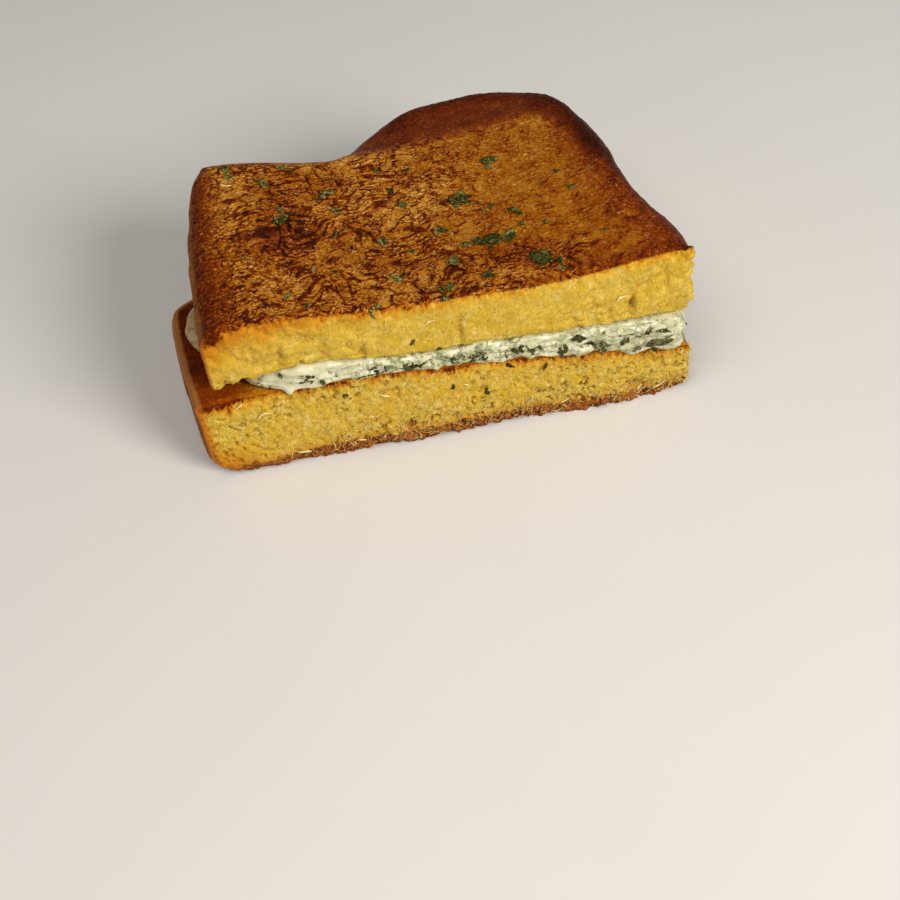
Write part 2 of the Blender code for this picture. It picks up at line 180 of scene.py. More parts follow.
# Parts of the fried skin that are darker or paler: middle, size along X and Y, and by how much.
BROWN_SPOTS = (
    (-33, -6, 8, 6, 0.26), (-26, 15, 9, 6, 0.14), (-57, -26, 5, 9, 0.12), (-57, 14, 4, 10, 0.04),
    (53, 13, 5, 8, 0.34), (57, -12, 5, 10, 0.10), (-12, -16, 9, 7, 0.10), (22, -26, 12, 5, 0.20),
    (-47, 12, 5, 12, -0.14), (-42, -22, 7, 6, -0.10), (-20, 24, 14, 3, -0.14), (2, 6, 8, 6, -0.08),
    (-16, 4, 6, 6, -0.06), (8, -27, 7, 3, -0.06),
)

# Herb clusters on the top: middle, number of flakes, spread and flake length.
HERB_CLUSTERS = (
    (-35, 0, 7, 2.6, 3.4), (-48, 25, 3, 1.6, 3.6), (-48, 21, 1, 0.6, 2.4), (-39, 16, 2, 1.4, 3.0),
    (-32, 23, 2, 2.4, 3.0), (-21, 2, 2, 1.0, 3.0), (-23, -7, 2, 1.0, 2.6), (-11, -12, 2, 1.0, 3.4),
    (-25, 9, 3, 1.8, 2.6), (-4, 2, 1, 0.8, 3.2), (-7, 8, 2, 1.6, 3.0), (-1, 16, 1, 0.6, 2.6),
    (-10, 19, 2, 2.0, 2.2), (10, 0, 8, 1.8, 4.4), (21, 14, 3, 1.4, 3.6), (37, 5, 1, 0.6, 3.0),
    (18, -5, 3, 1.6, 2.6), (24, -8, 3, 1.4, 2.6), (12, -19, 3, 1.6, 4.2), (16, -19, 5, 2.2, 4.4),
    (20, -17, 3, 1.6, 3.6), (5, -24, 3, 1.2, 3.8), (26, -27, 5, 1.8, 4.4), (30, -31, 2, 1.2, 3.4),
    (12, -31, 2, 1.2, 3.2), (0, -33, 3, 1.4, 3.6), (-10, -25, 2, 1.2, 3.0), (-37, -29, 1, 0.6, 2.6),
    (-17, -35, 2, 1.2, 2.6), (40, -4, 1, 0.6, 3.0), (24, -14, 2, 1.0, 2.4), (4, -12, 3, 2.0, 2.4),
    (-5, -16, 2, 2.0, 2.4), (-46, -12, 1, 1.0, 2.2), (31, -14, 2, 1.4, 2.4), (-28, -21, 2, 3.0, 2.2),
    (44, -24, 1, 1.0, 2.2), (-54, 4, 1, 0.6, 2.4), (-33, -35, 1, 1.0, 2.6),
)
# Single leaves on the cut: place along it, height, and length.
LEAVES_ON_CUT = (
    (53.6, 19.8, 5.0), (38.9, 21.2, 4.2), (32.4, 26.5, 3.4), (-33.0, 28.6, 2.6), (14.4, 19.3, 2.6),
    (24.3, 17.1, 3.0), (-42.6, 31.8, 1.6), (8.2, 12.1, 2.2), (-9.2, 33.7, 2.0), (-2.7, 29.6, 2.0),
    (-28.1, 20.2, 2.0), (-0.7, 16.4, 2.0), (47.5, 19.0, 2.4), (6.5, 27.0, 2.8), (-11.0, 26.6, 3.0),
    (20.5, 24.6, 2.8), (-20.0, 29.0, 2.6), (44.5, 21.8, 2.8), (50.4, 24.0, 2.4), (54.6, 23.6, 2.3),
    (35.4, 23.6, 2.6), (27.6, 22.6, 2.8), (31.0, 20.6, 2.4), (16.0, 26.2, 2.2), (52.0, 17.6, 2.2),
)

# Loose shreds of pale bread: place, the way they point in degrees, length and width. The first
# lie on top, at X and Y, and the others on the cut, at X and Z.
SHREDS_ON_TOP = ((-48.5, 17.4, -25, 3.2, 0.9), (-13.0, 21.0, 60, 1.4, 0.4))
SHREDS_ON_CUT = (
    (44.0, 35.6, 20, 3.4, 1.1), (-49.0, 19.6, 12, 4.0, 0.9), (-41.3, 2.4, -8, 3.6, 0.9),
    (-18.1, 17.8, -25, 2.6, 0.7), (54.9, 1.4, 35, 4.2, 0.9), (-4.3, 39.7, 15, 2.2, 0.7),
    (-54.5, 23.6, 40, 2.4, 0.7), (3.0, 16.0, -50, 2.2, 0.5), (49.0, 2.2, 60, 2.6, 0.7),
    (60.5, 12.0, 80, 2.0, 0.7), (29.0, 2.6, 25, 2.4, 0.6), (-26.0, 2.8, -15, 2.4, 0.7),
)
# Kinds of fibre: how far along the cut they grow, their heights as shares of the face, their
# share of all the fibres, length, radius, and how much they bend.
FINE = ((-63.0, 62.5), (0.03, 0.97), 1.0, (0.5, 1.8), (0.035, 0.075), 0.45)
SHAGGY = ((-34.0, 62.5), (0.05, 0.42), 0.25, (1.3, 3.2), (0.07, 0.13), 0.7)
LOOSE = ((-62.0, 62.5), (0.10, 0.95), 0.06, (1.5, 3.4), (0.07, 0.12), 0.5)
AT_THE_END = 0.06
# Starts of the random draws.
UPPER_FIBRE_SEED, LOWER_FIBRE_SEED, SHRED_SEED = 21, 22, 8

FLOOR_SIZE, FLOOR_ROUGHNESS = 3.0, 0.55
# The lights: name, place, size and power of each, in metres and watts, and its colour.
LIGHT_AIM = (0, 0, 0.03)
LIGHTS = (
    ("window", (0.55, -0.75, 0.60), 0.50, 11.0, (1.0, 0.98, 0.94)),
    ("overhead", (-0.25, -0.35, 0.95), 0.7, 4.2, (1.0, 0.98, 0.95)),
)
ROOM_COLOUR, ROOM_STRENGTH = (1.0, 0.97, 0.93, 1), 0.17
# The camera's place, what its middle looks at, and its roll.
CAMERA_EYE = Vector((-23.92, -291.47, 276.93)) * MM
CAMERA_AIM = Vector((-3.28, -71.63, 26.6)) * MM
CAMERA_ROLL = math.radians(-7.0)
CAMERA_LENS = 56.0


def smooth_line(knots, step=0.6):
    """Points about one step apart along a smooth curve through the knots."""
    knots = [np.array(knot, float) for knot in knots]
    ends = [2 * knots[0] - knots[1]] + knots + [2 * knots[-1] - knots[-2]]
    stretches = []
    for before, start, end, after in zip(ends, ends[1:], ends[2:], ends[3:]):
        count = max(2, round(np.linalg.norm(end - start) / step))
        t = (np.arange(count) / count)[:, None]
        squared = (2 * before - 5 * start + 4 * end - after) * t**2
        cubed = (3 * start - before - 3 * end + after) * t**3
        stretches.append(0.5 * (2 * start + (end - before) * t + squared + cubed))
    return np.concatenate(stretches + [knots[-1][None]])


def height_along(knots, x):
    curve = smooth_line(knots)
    return np.interp(x, curve[:, 0], curve[:, 1])


def smoothstep(value, low, high):
    t = np.clip((value - low) / (high - low), 0, 1)
    return t * t * (3 - 2 * t)


def falling(value, low, high):
    return 1 - smoothstep(value, low, high)


def ripples(points, pitch, seed):
    """Soft noise between about -1 and 1 with bumps about one pitch apart."""
    scaled = np.asarray(points, float) / pitch
    if scaled.shape[1] == 2:
        scaled = np.c_[scaled, np.zeros(len(scaled))]
    scaled = scaled + (seed, -seed, 3 * seed)
    return np.array([noise.noise(Vector(point)) for point in scaled])


def cell_walls(points, pitch, seed):
    """Distance to the nearest wall between round cells, as a share of their pitch."""
    scaled = np.asarray(points, float) / pitch + (seed, -seed, 2 * seed)
    found = []
    for point in scaled:
        distances, _ = noise.voronoi(Vector(point))
        found.append(distances[1] - distances[0])
    return np.array(found)


class Line:
    """A plan line, for the distance from it, the direction away from it and the place along it."""

    def __init__(self, points):
        self.points = points
        self.tree = KDTree(len(points))
        for i, (x, y) in enumerate(points):
            self.tree.insert((x, y, 0), i)
        self.tree.balance()

    def nearest(self, points):
        near = np.array([self.tree.find((x, y, 0))[1] for x, y in points[:, :2]])
        best = None
        last = len(self.points) - 2
        for first in (np.clip(near - 1, 0, last), np.clip(near, 0, last)):
            start = self.points[first]
            run = self.points[first + 1] - start
            offset = points[:, :2] - start
            t = np.clip((offset * run).sum(1) / (run**2).sum(1), 0, 1)
            away = offset - t[:, None] * run
            distance = np.linalg.norm(away, axis=1)
            inward = np.c_[run[:, 1], -run[:, 0]] / np.linalg.norm(run, axis=1)[:, None]
            along = (first + t) / (len(self.points) - 1)
            if best is None:
                best = [distance, away, inward, along]
                continue
            closer = distance < best[0]
            best[0] = np.where(closer, distance, best[0])
            best[3] = np.where(closer, along, best[3])
            for k, value in ((1, away), (2, inward)):
                best[k] = np.where(closer[:, None], value, best[k])
        direction = best[1] + 0.4 * best[2]
        direction /= np.linalg.norm(direction, axis=1)[:, None]
        return best[0], direction, best[3]


def interface(knots, points):
    """The height of a face that touches the cream."""
    return height_along(knots, points[:, 0]) + SWELL * ripples(points[:, :2], SWELL_PITCH, 2.3)


def past_shoulder(points):
    """How far a point lies beyond the shoulder line, on the dome's side."""
    line = smooth_line(SHOULDER_LINE)
    distance, _, along = Line(line).nearest(points)
    index = np.clip((along * (len(line) - 1)).astype(int), 1, len(line) - 2)
    run = line[index + 1] - line[index - 1]
    offset = points[:, :2] - line[index]
    beyond = (run[:, 0] * offset[:, 1] - run[:, 1] * offset[:, 0] > 0) & (points[:, 0] > SHOULDER_START)
    return np.where(beyond, distance, -distance)


def shoulder(points):
    """How far the top drops beyond the shoulder line."""
    fade = smoothstep(points[:, 0], SHOULDER_START, 6)
    width = 4 + 11 * fade
    drop = SHOULDER_DROP * (1 - 0.55 * fade) * falling(points[:, 0], 36, SHOULDER_END)
    return drop * smoothstep(past_shoulder(points), -1.5, width)


def top_surface(points):
    swell = 0.6 * ripples(points[:, :2], 26.0, 7.1)
    return height_along(TOP_HEIGHT, points[:, 0]) + swell - shoulder(points)


def rounded(points, surface, nearest, sizes, side):
    """Rounds a rim, side +1 for the upper one: a point outside its ellipse moves onto it."""
    distance, direction, along = nearest
    reach, depth = sizes(along)
    below = side * (surface - points[:, 2])
    across = np.clip((reach - distance) / reach, 0, None)
    up = np.clip((depth - below) / depth, 0, None)
    length = np.maximum(np.hypot(across, up), 1e-9)
    outside = (length > 1) & (across > 0) & (up > 0)
    scale = np.where(outside, 1 - 1 / length, 0)
    points[:, :2] += direction * (reach * across * scale)[:, None]
    points[:, 2] -= side * depth * up * scale


def rim_sizes(rim, stretches):
    """The rounding along a crust, blended from stretch to stretch."""
    lengths = np.array([len(points) - 1 for _, points in stretches])
    middles = (np.cumsum(lengths) - lengths / 2) / lengths.sum()
    reach = [rim[name][0] for name, _ in stretches]
    depth = [rim[name][1] for name, _ in stretches]

    def sizes(along):
        return np.interp(along, middles, reach), np.interp(along, middles, depth)

    return sizes


def even_rim(reach, depth):
    def sizes(along):
        return np.full(len(along), reach), np.full(len(along), depth)

    return sizes


def new_object(name, mesh):
    obj = bpy.data.objects.new(name, mesh)
    bpy.context.scene.collection.objects.link(obj)
    return obj


def flat_prism(name, outline, thickness, cell):
    """An even mesh of the outline's prism, still flat."""
    mesh = bpy.data.meshes.new(name)
    body = bmesh.new()
    ring = [body.verts.new((x, y, 0)) for x, y in outline]
    base = body.faces.new(ring)
    raised = bmesh.ops.extrude_face_region(body, geom=[base])["geom"]
    top = [item for item in raised if isinstance(item, bmesh.types.BMVert)]
    bmesh.ops.translate(body, verts=top, vec=(0, 0, thickness))
    bmesh.ops.recalc_face_normals(body, faces=body.faces)
    body.to_mesh(mesh)
    body.free()
    obj = new_object(name, mesh)
    remesh = obj.modifiers.new("even_cells", "REMESH")
    remesh.mode = "VOXEL"
    remesh.voxel_size = cell
    bpy.context.view_layer.update()
    graph = bpy.context.evaluated_depsgraph_get()
    evened = bpy.data.meshes.new_from_object(obj.evaluated_get(graph))
    obj.modifiers.clear()
    obj.data = evened
    return obj


def vectors_of(items, name):
    vectors = np.empty(len(items) * 3)
    items.foreach_get(name, vectors)
    return vectors.reshape(-1, 3)


def split_faces(obj, chosen):
    """Splits each chosen face into four. chosen takes the faces' middles and normals."""
    mesh = obj.data
    wanted = chosen(vectors_of(mesh.polygons, "center"), vectors_of(mesh.polygons, "normal"))
    body = bmesh.new()
    body.from_mesh(mesh)
    edges = {edge for face, take in zip(body.faces, wanted) if take for edge in face.edges}
    edges = sorted(edges, key=lambda edge: edge.index)
    bmesh.ops.subdivide_edges(body, edges=edges, cuts=1, use_grid_fill=True)
    body.to_mesh(mesh)
    body.free()


def points_of(obj):
    return vectors_of(obj.data.vertices, "co")


def set_points(obj, points):
    obj.data.vertices.foreach_set("co", np.asarray(points, np.float32).ravel())
    obj.data.update()


def normals_of(obj):
    return vectors_of(obj.data.vertices, "normal")


def keep_values(obj, **values):
    """Stores a number for each vertex under each name, for the materials to read."""
    for name, numbers in values.items():
        layer = obj.data.attributes.new(name, "FLOAT", "POINT")
        layer.data.foreach_set("value", np.asarray(numbers, np.float32))


def place_in_frame(obj):
    set_points(obj, (points_of(obj) - MIDDLE) * MM)


def finish_piece(obj, node, material):
    obj.data.materials.clear()
    obj.data.materials.append(material)
    obj.data.shade_smooth()
    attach(obj, BODY)
    if node:
        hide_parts(node)


def smoothed(obj, points, share, rounds=6):
    """Moves each point towards the middle of its neighbours by its share."""
    edges = np.empty(len(obj.data.edges) * 2, int)
    obj.data.edges.foreach_get("vertices", edges)
    start, end = edges.reshape(-1, 2).T
    count = np.bincount(edges, minlength=len(points))[:, None]
    for _ in range(rounds):
        total = np.zeros_like(points)
        np.add.at(total, start, points[end])
        np.add.at(total, end, points[start])
        points = points + share[:, None] * (total / count - points)
    return points


class Slice:
    """A slice of bread between two surfaces, with the distances that its relief is laid out by."""

    def __init__(self, name, crust, cut, low, high, upper, under, cell):
        stretches = [(label, smooth_line(knots)) for label, knots in crust.items()]
        cut = smooth_line(cut)
        crust = np.concatenate([points[:-1] for _, points in stretches] + [stretches[-1][1][-1:]])
        for _ in range(8):
            crust[1:-1] = (crust[:-2] + 2 * crust[1:-1] + crust[2:]) / 4
        outline = np.concatenate([crust[:-1], cut[:-1]])
        self.obj = flat_prism(name, outline, FLAT_THICKNESS, cell)
        self.refine()
        points = points_of(self.obj)
        share = np.clip((points[:, 2] / FLAT_THICKNESS - 0.03) / 0.94, 0, 1)
        low, high = low(points), high(points)
        points[:, 2] = low + share * (high - low)
        self.under_top = (1 - share) * (high - low)
        self.over_base = share * (high - low)
        by_crust, by_cut = Line(crust).nearest(points), Line(cut).nearest(points)
        self.from_crust, self.from_cut = by_crust[0], by_cut[0]
        rounded(points, high, by_crust, rim_sizes(upper, stretches), 1)
        rounded(points, low, by_crust, rim_sizes(under, stretches), -1)
        rounded(points, high, by_cut, even_rim(*upper["cut"]), 1)
        rounded(points, low, by_cut, even_rim(*under["cut"]), -1)
        rim = falling(self.from_crust, 7, 10) * smoothstep(self.from_cut, 1.0, 2.0)
        self.points = smoothed(self.obj, points, 0.5 * rim)
        set_points(self.obj, self.points)
        self.normals = normals_of(self.obj)
        self.on_cut = falling(self.from_cut, 0.3, 1.4) * smoothstep(self.from_crust, 0.2, 1.5)
        self.on_top = falling(self.under_top, 0.2, 2.0)
        self.on_side = falling(self.from_crust, 0.3, 1.4) * (1 - self.on_top)

    def refine(self):
        """Splits the faces that need finer relief."""
        raise NotImplementedError

    def raise_by(self, heights):
        self.points += self.normals * heights[:, None]
        set_points(self.obj, self.points)

    def store(self, **more):
        """Keeps what the material reads, and moves the slice to its place in the frame."""
        bare = (self.under_top > more["wrap"] + 0.3) & (more["warm"] < 0.15) & (self.from_crust > 1.6)
        torn_end = smoothstep(self.points[:, 0], 50, 56) * falling(self.from_cut, 2, 6)
        keep_values(
            self.obj, under_top=self.under_top, over_base=self.over_base, from_cut=self.from_cut,
            from_crust=self.from_crust, bare=bare, torn_end=torn_end, **more,
        )
        place_in_frame(self.obj)


def on_the_cut(middles, normals):
    """Which faces of a flat slice make up its cut face."""
    return (np.abs(normals[:, 2]) < 0.8) & (middles[:, 1] < CUT_BEFORE) & (np.abs(normals[:, 0]) < 0.8)


class UpperSlice(Slice):
    def refine(self):
        split_faces(self.obj, lambda middles, normals: (normals[:, 2] > -0.7))
        split_faces(
            self.obj,
            lambda middles, normals: (normals[:, 2] > 0.5) | on_the_cut(middles, normals)
            | ((middles[:, 2] > 0.5 * FLAT_THICKNESS) & (middles[:, 0] < LEFT_END)),
        )


class LowerSlice(Slice):
    def refine(self):
        split_faces(self.obj, lambda middles, normals: np.abs(normals[:, 2]) < 0.7)
        split_faces(self.obj, on_the_cut)


def crinkles(slice_):
    """Folded lines of the fried skin: walls of long leaf-like cells, loops, and short strokes."""
    plan = slice_.points.copy()
    plan[:, 2] = 0
    warp = np.c_[ripples(plan, 11.0, 3.1), ripples(plan, 11.0, 8.4), np.zeros(len(plan))]
    small = np.c_[ripples(plan, 3.0, 5.7), ripples(plan, 3.0, 1.9), np.zeros(len(plan))]
    bent = (plan + 6.0 * warp + 0.9 * small) * (0.5, 1.0, 1.0)
    cells = np.exp(-((cell_walls(bent, 2.7, 4.2) / 0.105) ** 2))
    level = ripples(bent, 3.4, 2.6) * 4.0
    loops = falling(np.abs(level - np.round(level)), 0.03, 0.16)
    strokes = falling(np.abs(ripples(bent * (0.7, 1.5, 1), 1.25, 7.9)), 0.03, 0.17)
    part = ripples(plan, 5.0, 6.6)
    kept = smoothstep(part, -0.35, 0.05)
    dense = smoothstep(ripples(plan, 5.0, 3.8), -0.25, 0.15)
    lines = np.maximum(cells * kept, 0.8 * loops * (1 - 0.7 * kept))
    return np.maximum(lines * (0.6 + 0.4 * ripples(plan, 2.0, 9.1)), 0.75 * strokes * dense)


def mottled(slice_):
    """Where the skin is crinkled: the left part, and a strip along the cut."""
    x = slice_.points[:, 0] + 9 * ripples(slice_.points[:, :2], 15.0, 1.3)
    left = falling(x, -2, 32)
    strip = falling(slice_.from_cut, 9, 24) * falling(x, 30, 52)
    amount = np.maximum(0.48, np.maximum(left, strip))
    ear = smoothstep(past_shoulder(slice_.points), -1, 3) * smoothstep(slice_.points[:, 1], 4, 16)
    amount = amount * (1 - 0.55 * ear)
    return amount * smoothstep(slice_.points[:, 0], -58, -48) * smoothstep(slice_.from_crust, 1, 5)


def browned_top(slice_):
    """How brown the fried skin is apart from its lines, from pale gold at 0 to charred at 1."""
    x, y = slice_.points[:, 0], slice_.points[:, 1]
    plan = slice_.points[:, :2]
    brown = 0.39 - 0.17 * mottled(slice_)
    brown += 0.09 * ripples(plan, 12.0, 2.7) + 0.08 * ripples(plan, 4.5, 9.9)
    brown += 0.24 * falling(x, -60, -46) + 0.08 * smoothstep(x, 32, 50)
    brown += 0.26 * falling(slice_.from_crust, 0, 11) * smoothstep(x, -10, 6)
    shoulder = past_shoulder(slice_.points) + 1.2 * ripples(plan, 4.0, 3.1)
    brown += 0.30 * smoothstep(shoulder, -3.0, 4.5) * smoothstep(y, 4, 16)
    brown += (0.05 + 0.13 * smoothstep(x, -4, 22)) * falling(slice_.from_cut, 1, 5.5)
    brown += 0.07 * falling(x, -44, -18) - 0.03
    for middle_x, middle_y, wide, deep, more in BROWN_SPOTS:
        brown += more * np.exp(-0.5 * (((x - middle_x) / wide) ** 2 + ((y - middle_y) / deep) ** 2))
    return np.clip(brown, 0, 1)


def wrapped(slice_):
    """How far the fried skin reaches down the cut face, in millimetres."""
    x = slice_.points[:, 0]
    along = slice_.points * (1, 0, 0)
    reach = 0.5 - 0.5 * smoothstep(x, -12, 20)
    reach = reach + 0.8 * ripples(along, 7.0, 2.9) + 0.5 * ripples(along, 1.8, 5.2)
    reach = reach - 1.2 * np.exp(-(((x - 27) / 9) ** 2))
    return np.clip(reach, -1.2, None) + 5.8 * falling(x, -60.5, -49)


def seared(slice_):
    """Where the skin is rough and speckled: the left rim, and less so the dome's rim."""
    x = slice_.points[:, 0]
    dome = falling(slice_.from_crust, 2, 9) * smoothstep(x, -5, 10)
    return np.maximum(falling(x, -57, -45), 0.55 * dome)


def crumb_relief(slice_, pitch, depth, openness, lump, seed):
    """Pores and torn lumps on the cut face, and how deep each point lies in a pore or crease, where the
    material paints shade.

    openness and lump say for each point how open the pores are and how lumpy the crumb is.
    """
    points = slice_.points
    warp = np.c_[tuple(ripples(points, 2.4, seed + more) for more in (0, 3, 5))]
    bent = (points + 0.9 * warp) * (1, 1, 1.2)
    sponge = ripples(bent, pitch, seed) + 0.55 * ripples(bent, 0.5 * pitch, seed + 1)
    holes = smoothstep(sponge, 0.02, 0.50)
    fine = smoothstep(cell_walls(bent, pitch * 0.48, seed + 1), 0.05, 0.5)
    pore = 0.85 * holes * openness + 0.15 * fine * (0.3 + 0.7 * openness)
    folded = points + 1.6 * warp + 2.0 * np.c_[ripples(points, 6.0, seed + 9), 0 * points[:, :2]]
    creases = falling(cell_walls(folded * (0.8, 0.4, 1.0), 5.2, seed + 2), 0.0, 0.45)
    creases *= smoothstep(ripples(points, 5.0, seed + 6), -0.4, 0.3) * lump
    lumps = ripples(points, 8.0, seed + 4) + 0.6 * ripples(points, 3.4, seed + 6)
    grain = ripples(points, 0.9, seed + 8)
    relief = 0.40 * lumps * (0.4 + lump) - 0.75 * creases - depth * pore + 0.12 * grain + 0.15
    return slice_.on_cut * relief, slice_.on_cut * np.clip(pore + 0.22 * creases, 0, 1)


def slits(points, places):
    """How deep the torn slits of a cut face are at each point."""
    depth = np.zeros(len(points))
    for x, z, wide, tall, deep in places:
        depth += deep * np.exp(-(((points[:, 0] - x) / wide) ** 2) - ((points[:, 2] - z) / tall) ** 2)
    return depth


def side_relief(slice_, seed):
    points = slice_.points
    broad = 0.30 * ripples(points, 6.0, seed)
    return slice_.on_side * (broad + 0.14 * ripples(points * (1, 1, 0.5), 1.6, seed + 4))


def make_upper_slice(settings):
    upper = UpperSlice(
        "upper_slice", TOP_CRUST, TOP_CUT, lambda points: interface(CREAM_TOP, points), top_surface,
        TOP_RIM, TOP_UNDER, settings.upper_cell,
    )
    fried = mottled(upper)
    skin = crinkles(upper) * fried
    rough = seared(upper)
    grain = ripples(upper.points, 1.1, 3.3)
    top = upper.on_top * (0.46 * skin + grain * (0.04 + 0.08 * fried + 0.22 * rough) - 0.08)
    x = upper.points[:, 0]
    lump = 0.32 + 0.68 * falling(x, -28, -12) + 0.75 * smoothstep(x, 18, 34)
    crumb, pore = crumb_relief(upper, 1.25, 0.36, 0.28 + 0 * x, lump, 2.2)
    tears = slits(upper.points, TOP_TEARS)
    along = upper.points * (1, 0.4, 0.4)
    in_tufts = ripples(along, 9.0, 4.4) > -0.1
    frayed = ripples(along, 3.7, 7.3) + 0.5 * ripples(along, 1.1, 2.6) * in_tufts
    frayed *= upper.from_cut < 2.0
    frayed *= falling(upper.under_top, 1.5, 4.0) * 0.75
    end = (upper.from_cut < 2.5) * falling(upper.from_crust, 1.0, 3.0) * (x > 50)
    frayed += end * (1.7 * ripples(upper.points, 2.8, 3.9) + 0.8 * ripples(upper.points, 1.1, 8.3))
    upper.raise_by(top + crumb - upper.on_cut * tears + frayed + side_relief(upper, 6.1))
    torn = falling(upper.over_base, 0.6, 3.4) * falling(upper.from_cut, 1.5, 5.0)
    torn *= falling(x, -50, -44)
    jagged = 2.2 * ripples(upper.points * (1, 0, 0), 2.4, 5.1) + 0.6
    upper.points[:, 2] += torn * np.clip(jagged, -0.3, None)
    set_points(upper.obj, upper.points)
    upper.store(
        # pore: where the material paints shade, in the pores, creases and slits of the cut face.
        brown=browned_top(upper), skin=skin, pore=np.clip(pore + 0.25 * tears * upper.on_cut, 0, 1),
        fried=fried, wrap=wrapped(upper), rough=rough, soak=0.10 + 0.22 * smoothstep(x, -54, 0),
        warm=0.5 * end_warmth(upper, -62, -54) * falling(upper.under_top, 5, 13),
    )
    return upper.obj


def end_warmth(slice_, start, end):
    """How much the left end of the cut face has browned."""
    depth = slice_.from_crust + 0.8 * ripples(slice_.points, 2.5, 3.7)
    return falling(slice_.points[:, 0], start, end) * falling(depth, 0.4, 3.6)


def make_lower_slice(settings):
    lower = LowerSlice(
        "lower_slice", LOW_CRUST, LOW_CUT, lambda points: np.full(len(points), MIDDLE[2]),
        lambda points: interface(CREAM_BASE, points), LOW_RIM, LOW_UNDER, settings.lower_cell,
    )
    x = lower.points[:, 0]
    openness = 0.55 + 0.45 * falling(lower.over_base, 5, 11) * smoothstep(x, -45, -25)
    openness = openness * (0.45 + 0.70 * smoothstep(ripples(lower.points, 8.0, 7.7), -0.5, 0.5))
    crumb, pore = crumb_relief(lower, 1.6, 1.4, openness, 0.34 + 0 * x, 6.8)
    tears = slits(lower.points, LOW_TEARS)
    foot = lower.on_cut * falling(lower.over_base, 0.5, 3.2)
    frayed = foot * (0.55 * ripples(lower.points * (1, 1, 0.5), 1.2, 4.1) + 0.1)
    frayed += 1.3 * foot * np.exp(-(((x - 35) / 17) ** 2))
    lower.raise_by(crumb - lower.on_cut * tears + frayed + side_relief(lower, 9.4))
    along = lower.points * (1, 0, 0)
    lift = np.clip(ripples(along, 5.5, 6.4) + 0.25, 0, None)
    lift = lift + 0.35 * np.clip(ripples(along, 1.3, 2.1), 0, None)
    lower.points[:, 2] += 1.2 * foot * lift
    lower.points[:, 2] = np.maximum(lower.points[:, 2], MIDDLE[2])
    set_points(lower.obj, lower.points)
    high_foot = smoothstep(x, -52, -36) * falling(x, 10, 30) * falling(lower.from_cut, 3, 8)
    lower.over_base = lower.over_base - 1.4 * high_foot
    brown = 0.75 + 0.14 * ripples(lower.points, 5.0, 3.9)
    on_ledge = lower.on_top * falling(lower.from_cut, 4, 14)
    brown -= (0.22 + 0.24 * smoothstep(x, -60, -44)) * on_ledge
    lip = 0.9 + 1.5 * ripples(lower.points * (1, 0, 0), 6.0, 4.9) + 1.5 * falling(x, -60, -45)
    warm = 0.62 * falling(x, -66, -38) * falling(lower.over_base, 4, 18)
    none = np.zeros(len(x))
    lower.store(
        # pore: where the material paints shade, in the pores, creases and slits of the cut face.
        brown=brown, skin=none, pore=np.clip(pore + 0.5 * tears * lower.on_cut, 0, 1), fried=none,
        wrap=lip, rough=none, soak=none + 0.40, warm=np.clip(end_warmth(lower, -56, -40) + warm, 0, 1),
    )
    return lower.obj


def make_cream(settings):
    rim, cut = smooth_line(CREAM_RIM), smooth_line(CREAM_CUT)
    edge = np.concatenate([rim, cut[1:]])
    outline = np.concatenate([rim[:-1], cut[:-1]])
    obj = flat_prism("herb_cream", outline, FLAT_CREAM, settings.cream_cell)
    line = Line(edge)
    for reach, front in ((5.0, False), (4.0, True)):
        def near_rim(middles, normals):
            near = line.nearest(middles)[0] < reach
            return near & ((middles[:, 1] < FINE_BEFORE) | (not front))
        split_faces(obj, near_rim)
    points = points_of(obj)
    share = np.clip((points[:, 2] / FLAT_CREAM - 0.03) / 0.94, 0, 1)
    low = interface(CREAM_BASE, points) + GAP
    high = interface(CREAM_TOP, points) - GAP
    points[:, 2] = low + share * (high - low)
    nearest = line.nearest(points)

    cut_starts = len(rim) / len(edge)

    def sizes(along):
        round_part = falling(along, cut_starts - 0.01, cut_starts + 0.02)
        round_part = np.maximum(round_part, smoothstep(along, 0.97, 1.0))
        reach = CREAM_CUT_EDGE + (CREAM_EDGE - CREAM_CUT_EDGE) * round_part
        return reach, (high - low) * (0.26 + 0.2 * round_part)

    rounded(points, high, nearest, sizes, 1)
    rounded(points, low, nearest, sizes, -1)
    set_points(obj, points)
    out = falling(line.nearest(points)[0], 0.8, 4.0)
    streaked = points * (0.45, 0.45, 1.6)
    soft = 0.75 * ripples(points, 5.5, 4.4) + 0.70 * ripples(streaked, 2.4, 7.7)
    folds = 0.45 * (1 - 2 * np.abs(ripples(streaked, 3.0, 1.1)))
    points += normals_of(obj) * (out * (soft + folds))[:, None]
    front = out * (points[:, 1] < CREAM_BEFORE) * falling(share, 0.2, 0.6)
    for x, wide, drop in DRIPS:
        hang = drop * front * np.exp(-(((points[:, 0] - x) / wide) ** 2))
        points[:, 2] -= hang
        points[:, 1] -= 0.5 * hang
    set_points(obj, points)
    middle = falling(np.abs(points[:, 0] + 2), 14, 30)
    # How much herb shows in the cream: most in the middle of the cut, and more to the right, where the
    # rise is partly painted shade that darkens the cream.
    herby = np.where(points[:, 1] < CREAM_BEFORE, middle + 0.62 * smoothstep(points[:, 0], 14, 34), 0.7)
    # The cream's left end is painted darker and browner, as painted shade.
    keep_values(obj, herby=herby, buttery=falling(points[:, 0], -61, -56))
    place_in_frame(obj)
    return obj


class Pile:
    """Vertices and faces of many small pieces that make one mesh."""

    def __init__(self):
        self.points, self.faces, self.shades = [], [], []

    def add(self, points, faces, shade):
        first = len(self.points)
        self.points += [tuple(point) for point in points]
        self.faces += [tuple(first + i for i in face) for face in faces]
        self.shades += [shade] * len(points)

    def build(self, name):
        mesh = bpy.data.meshes.new(name)
        mesh.from_pydata(np.clip(self.points, PIECES_FROM, PIECES_TO).tolist(), [], self.faces)
        mesh.update()
        obj = new_object(name, mesh)
        keep_values(obj, shade=self.shades)
        place_in_frame(obj)
        return obj


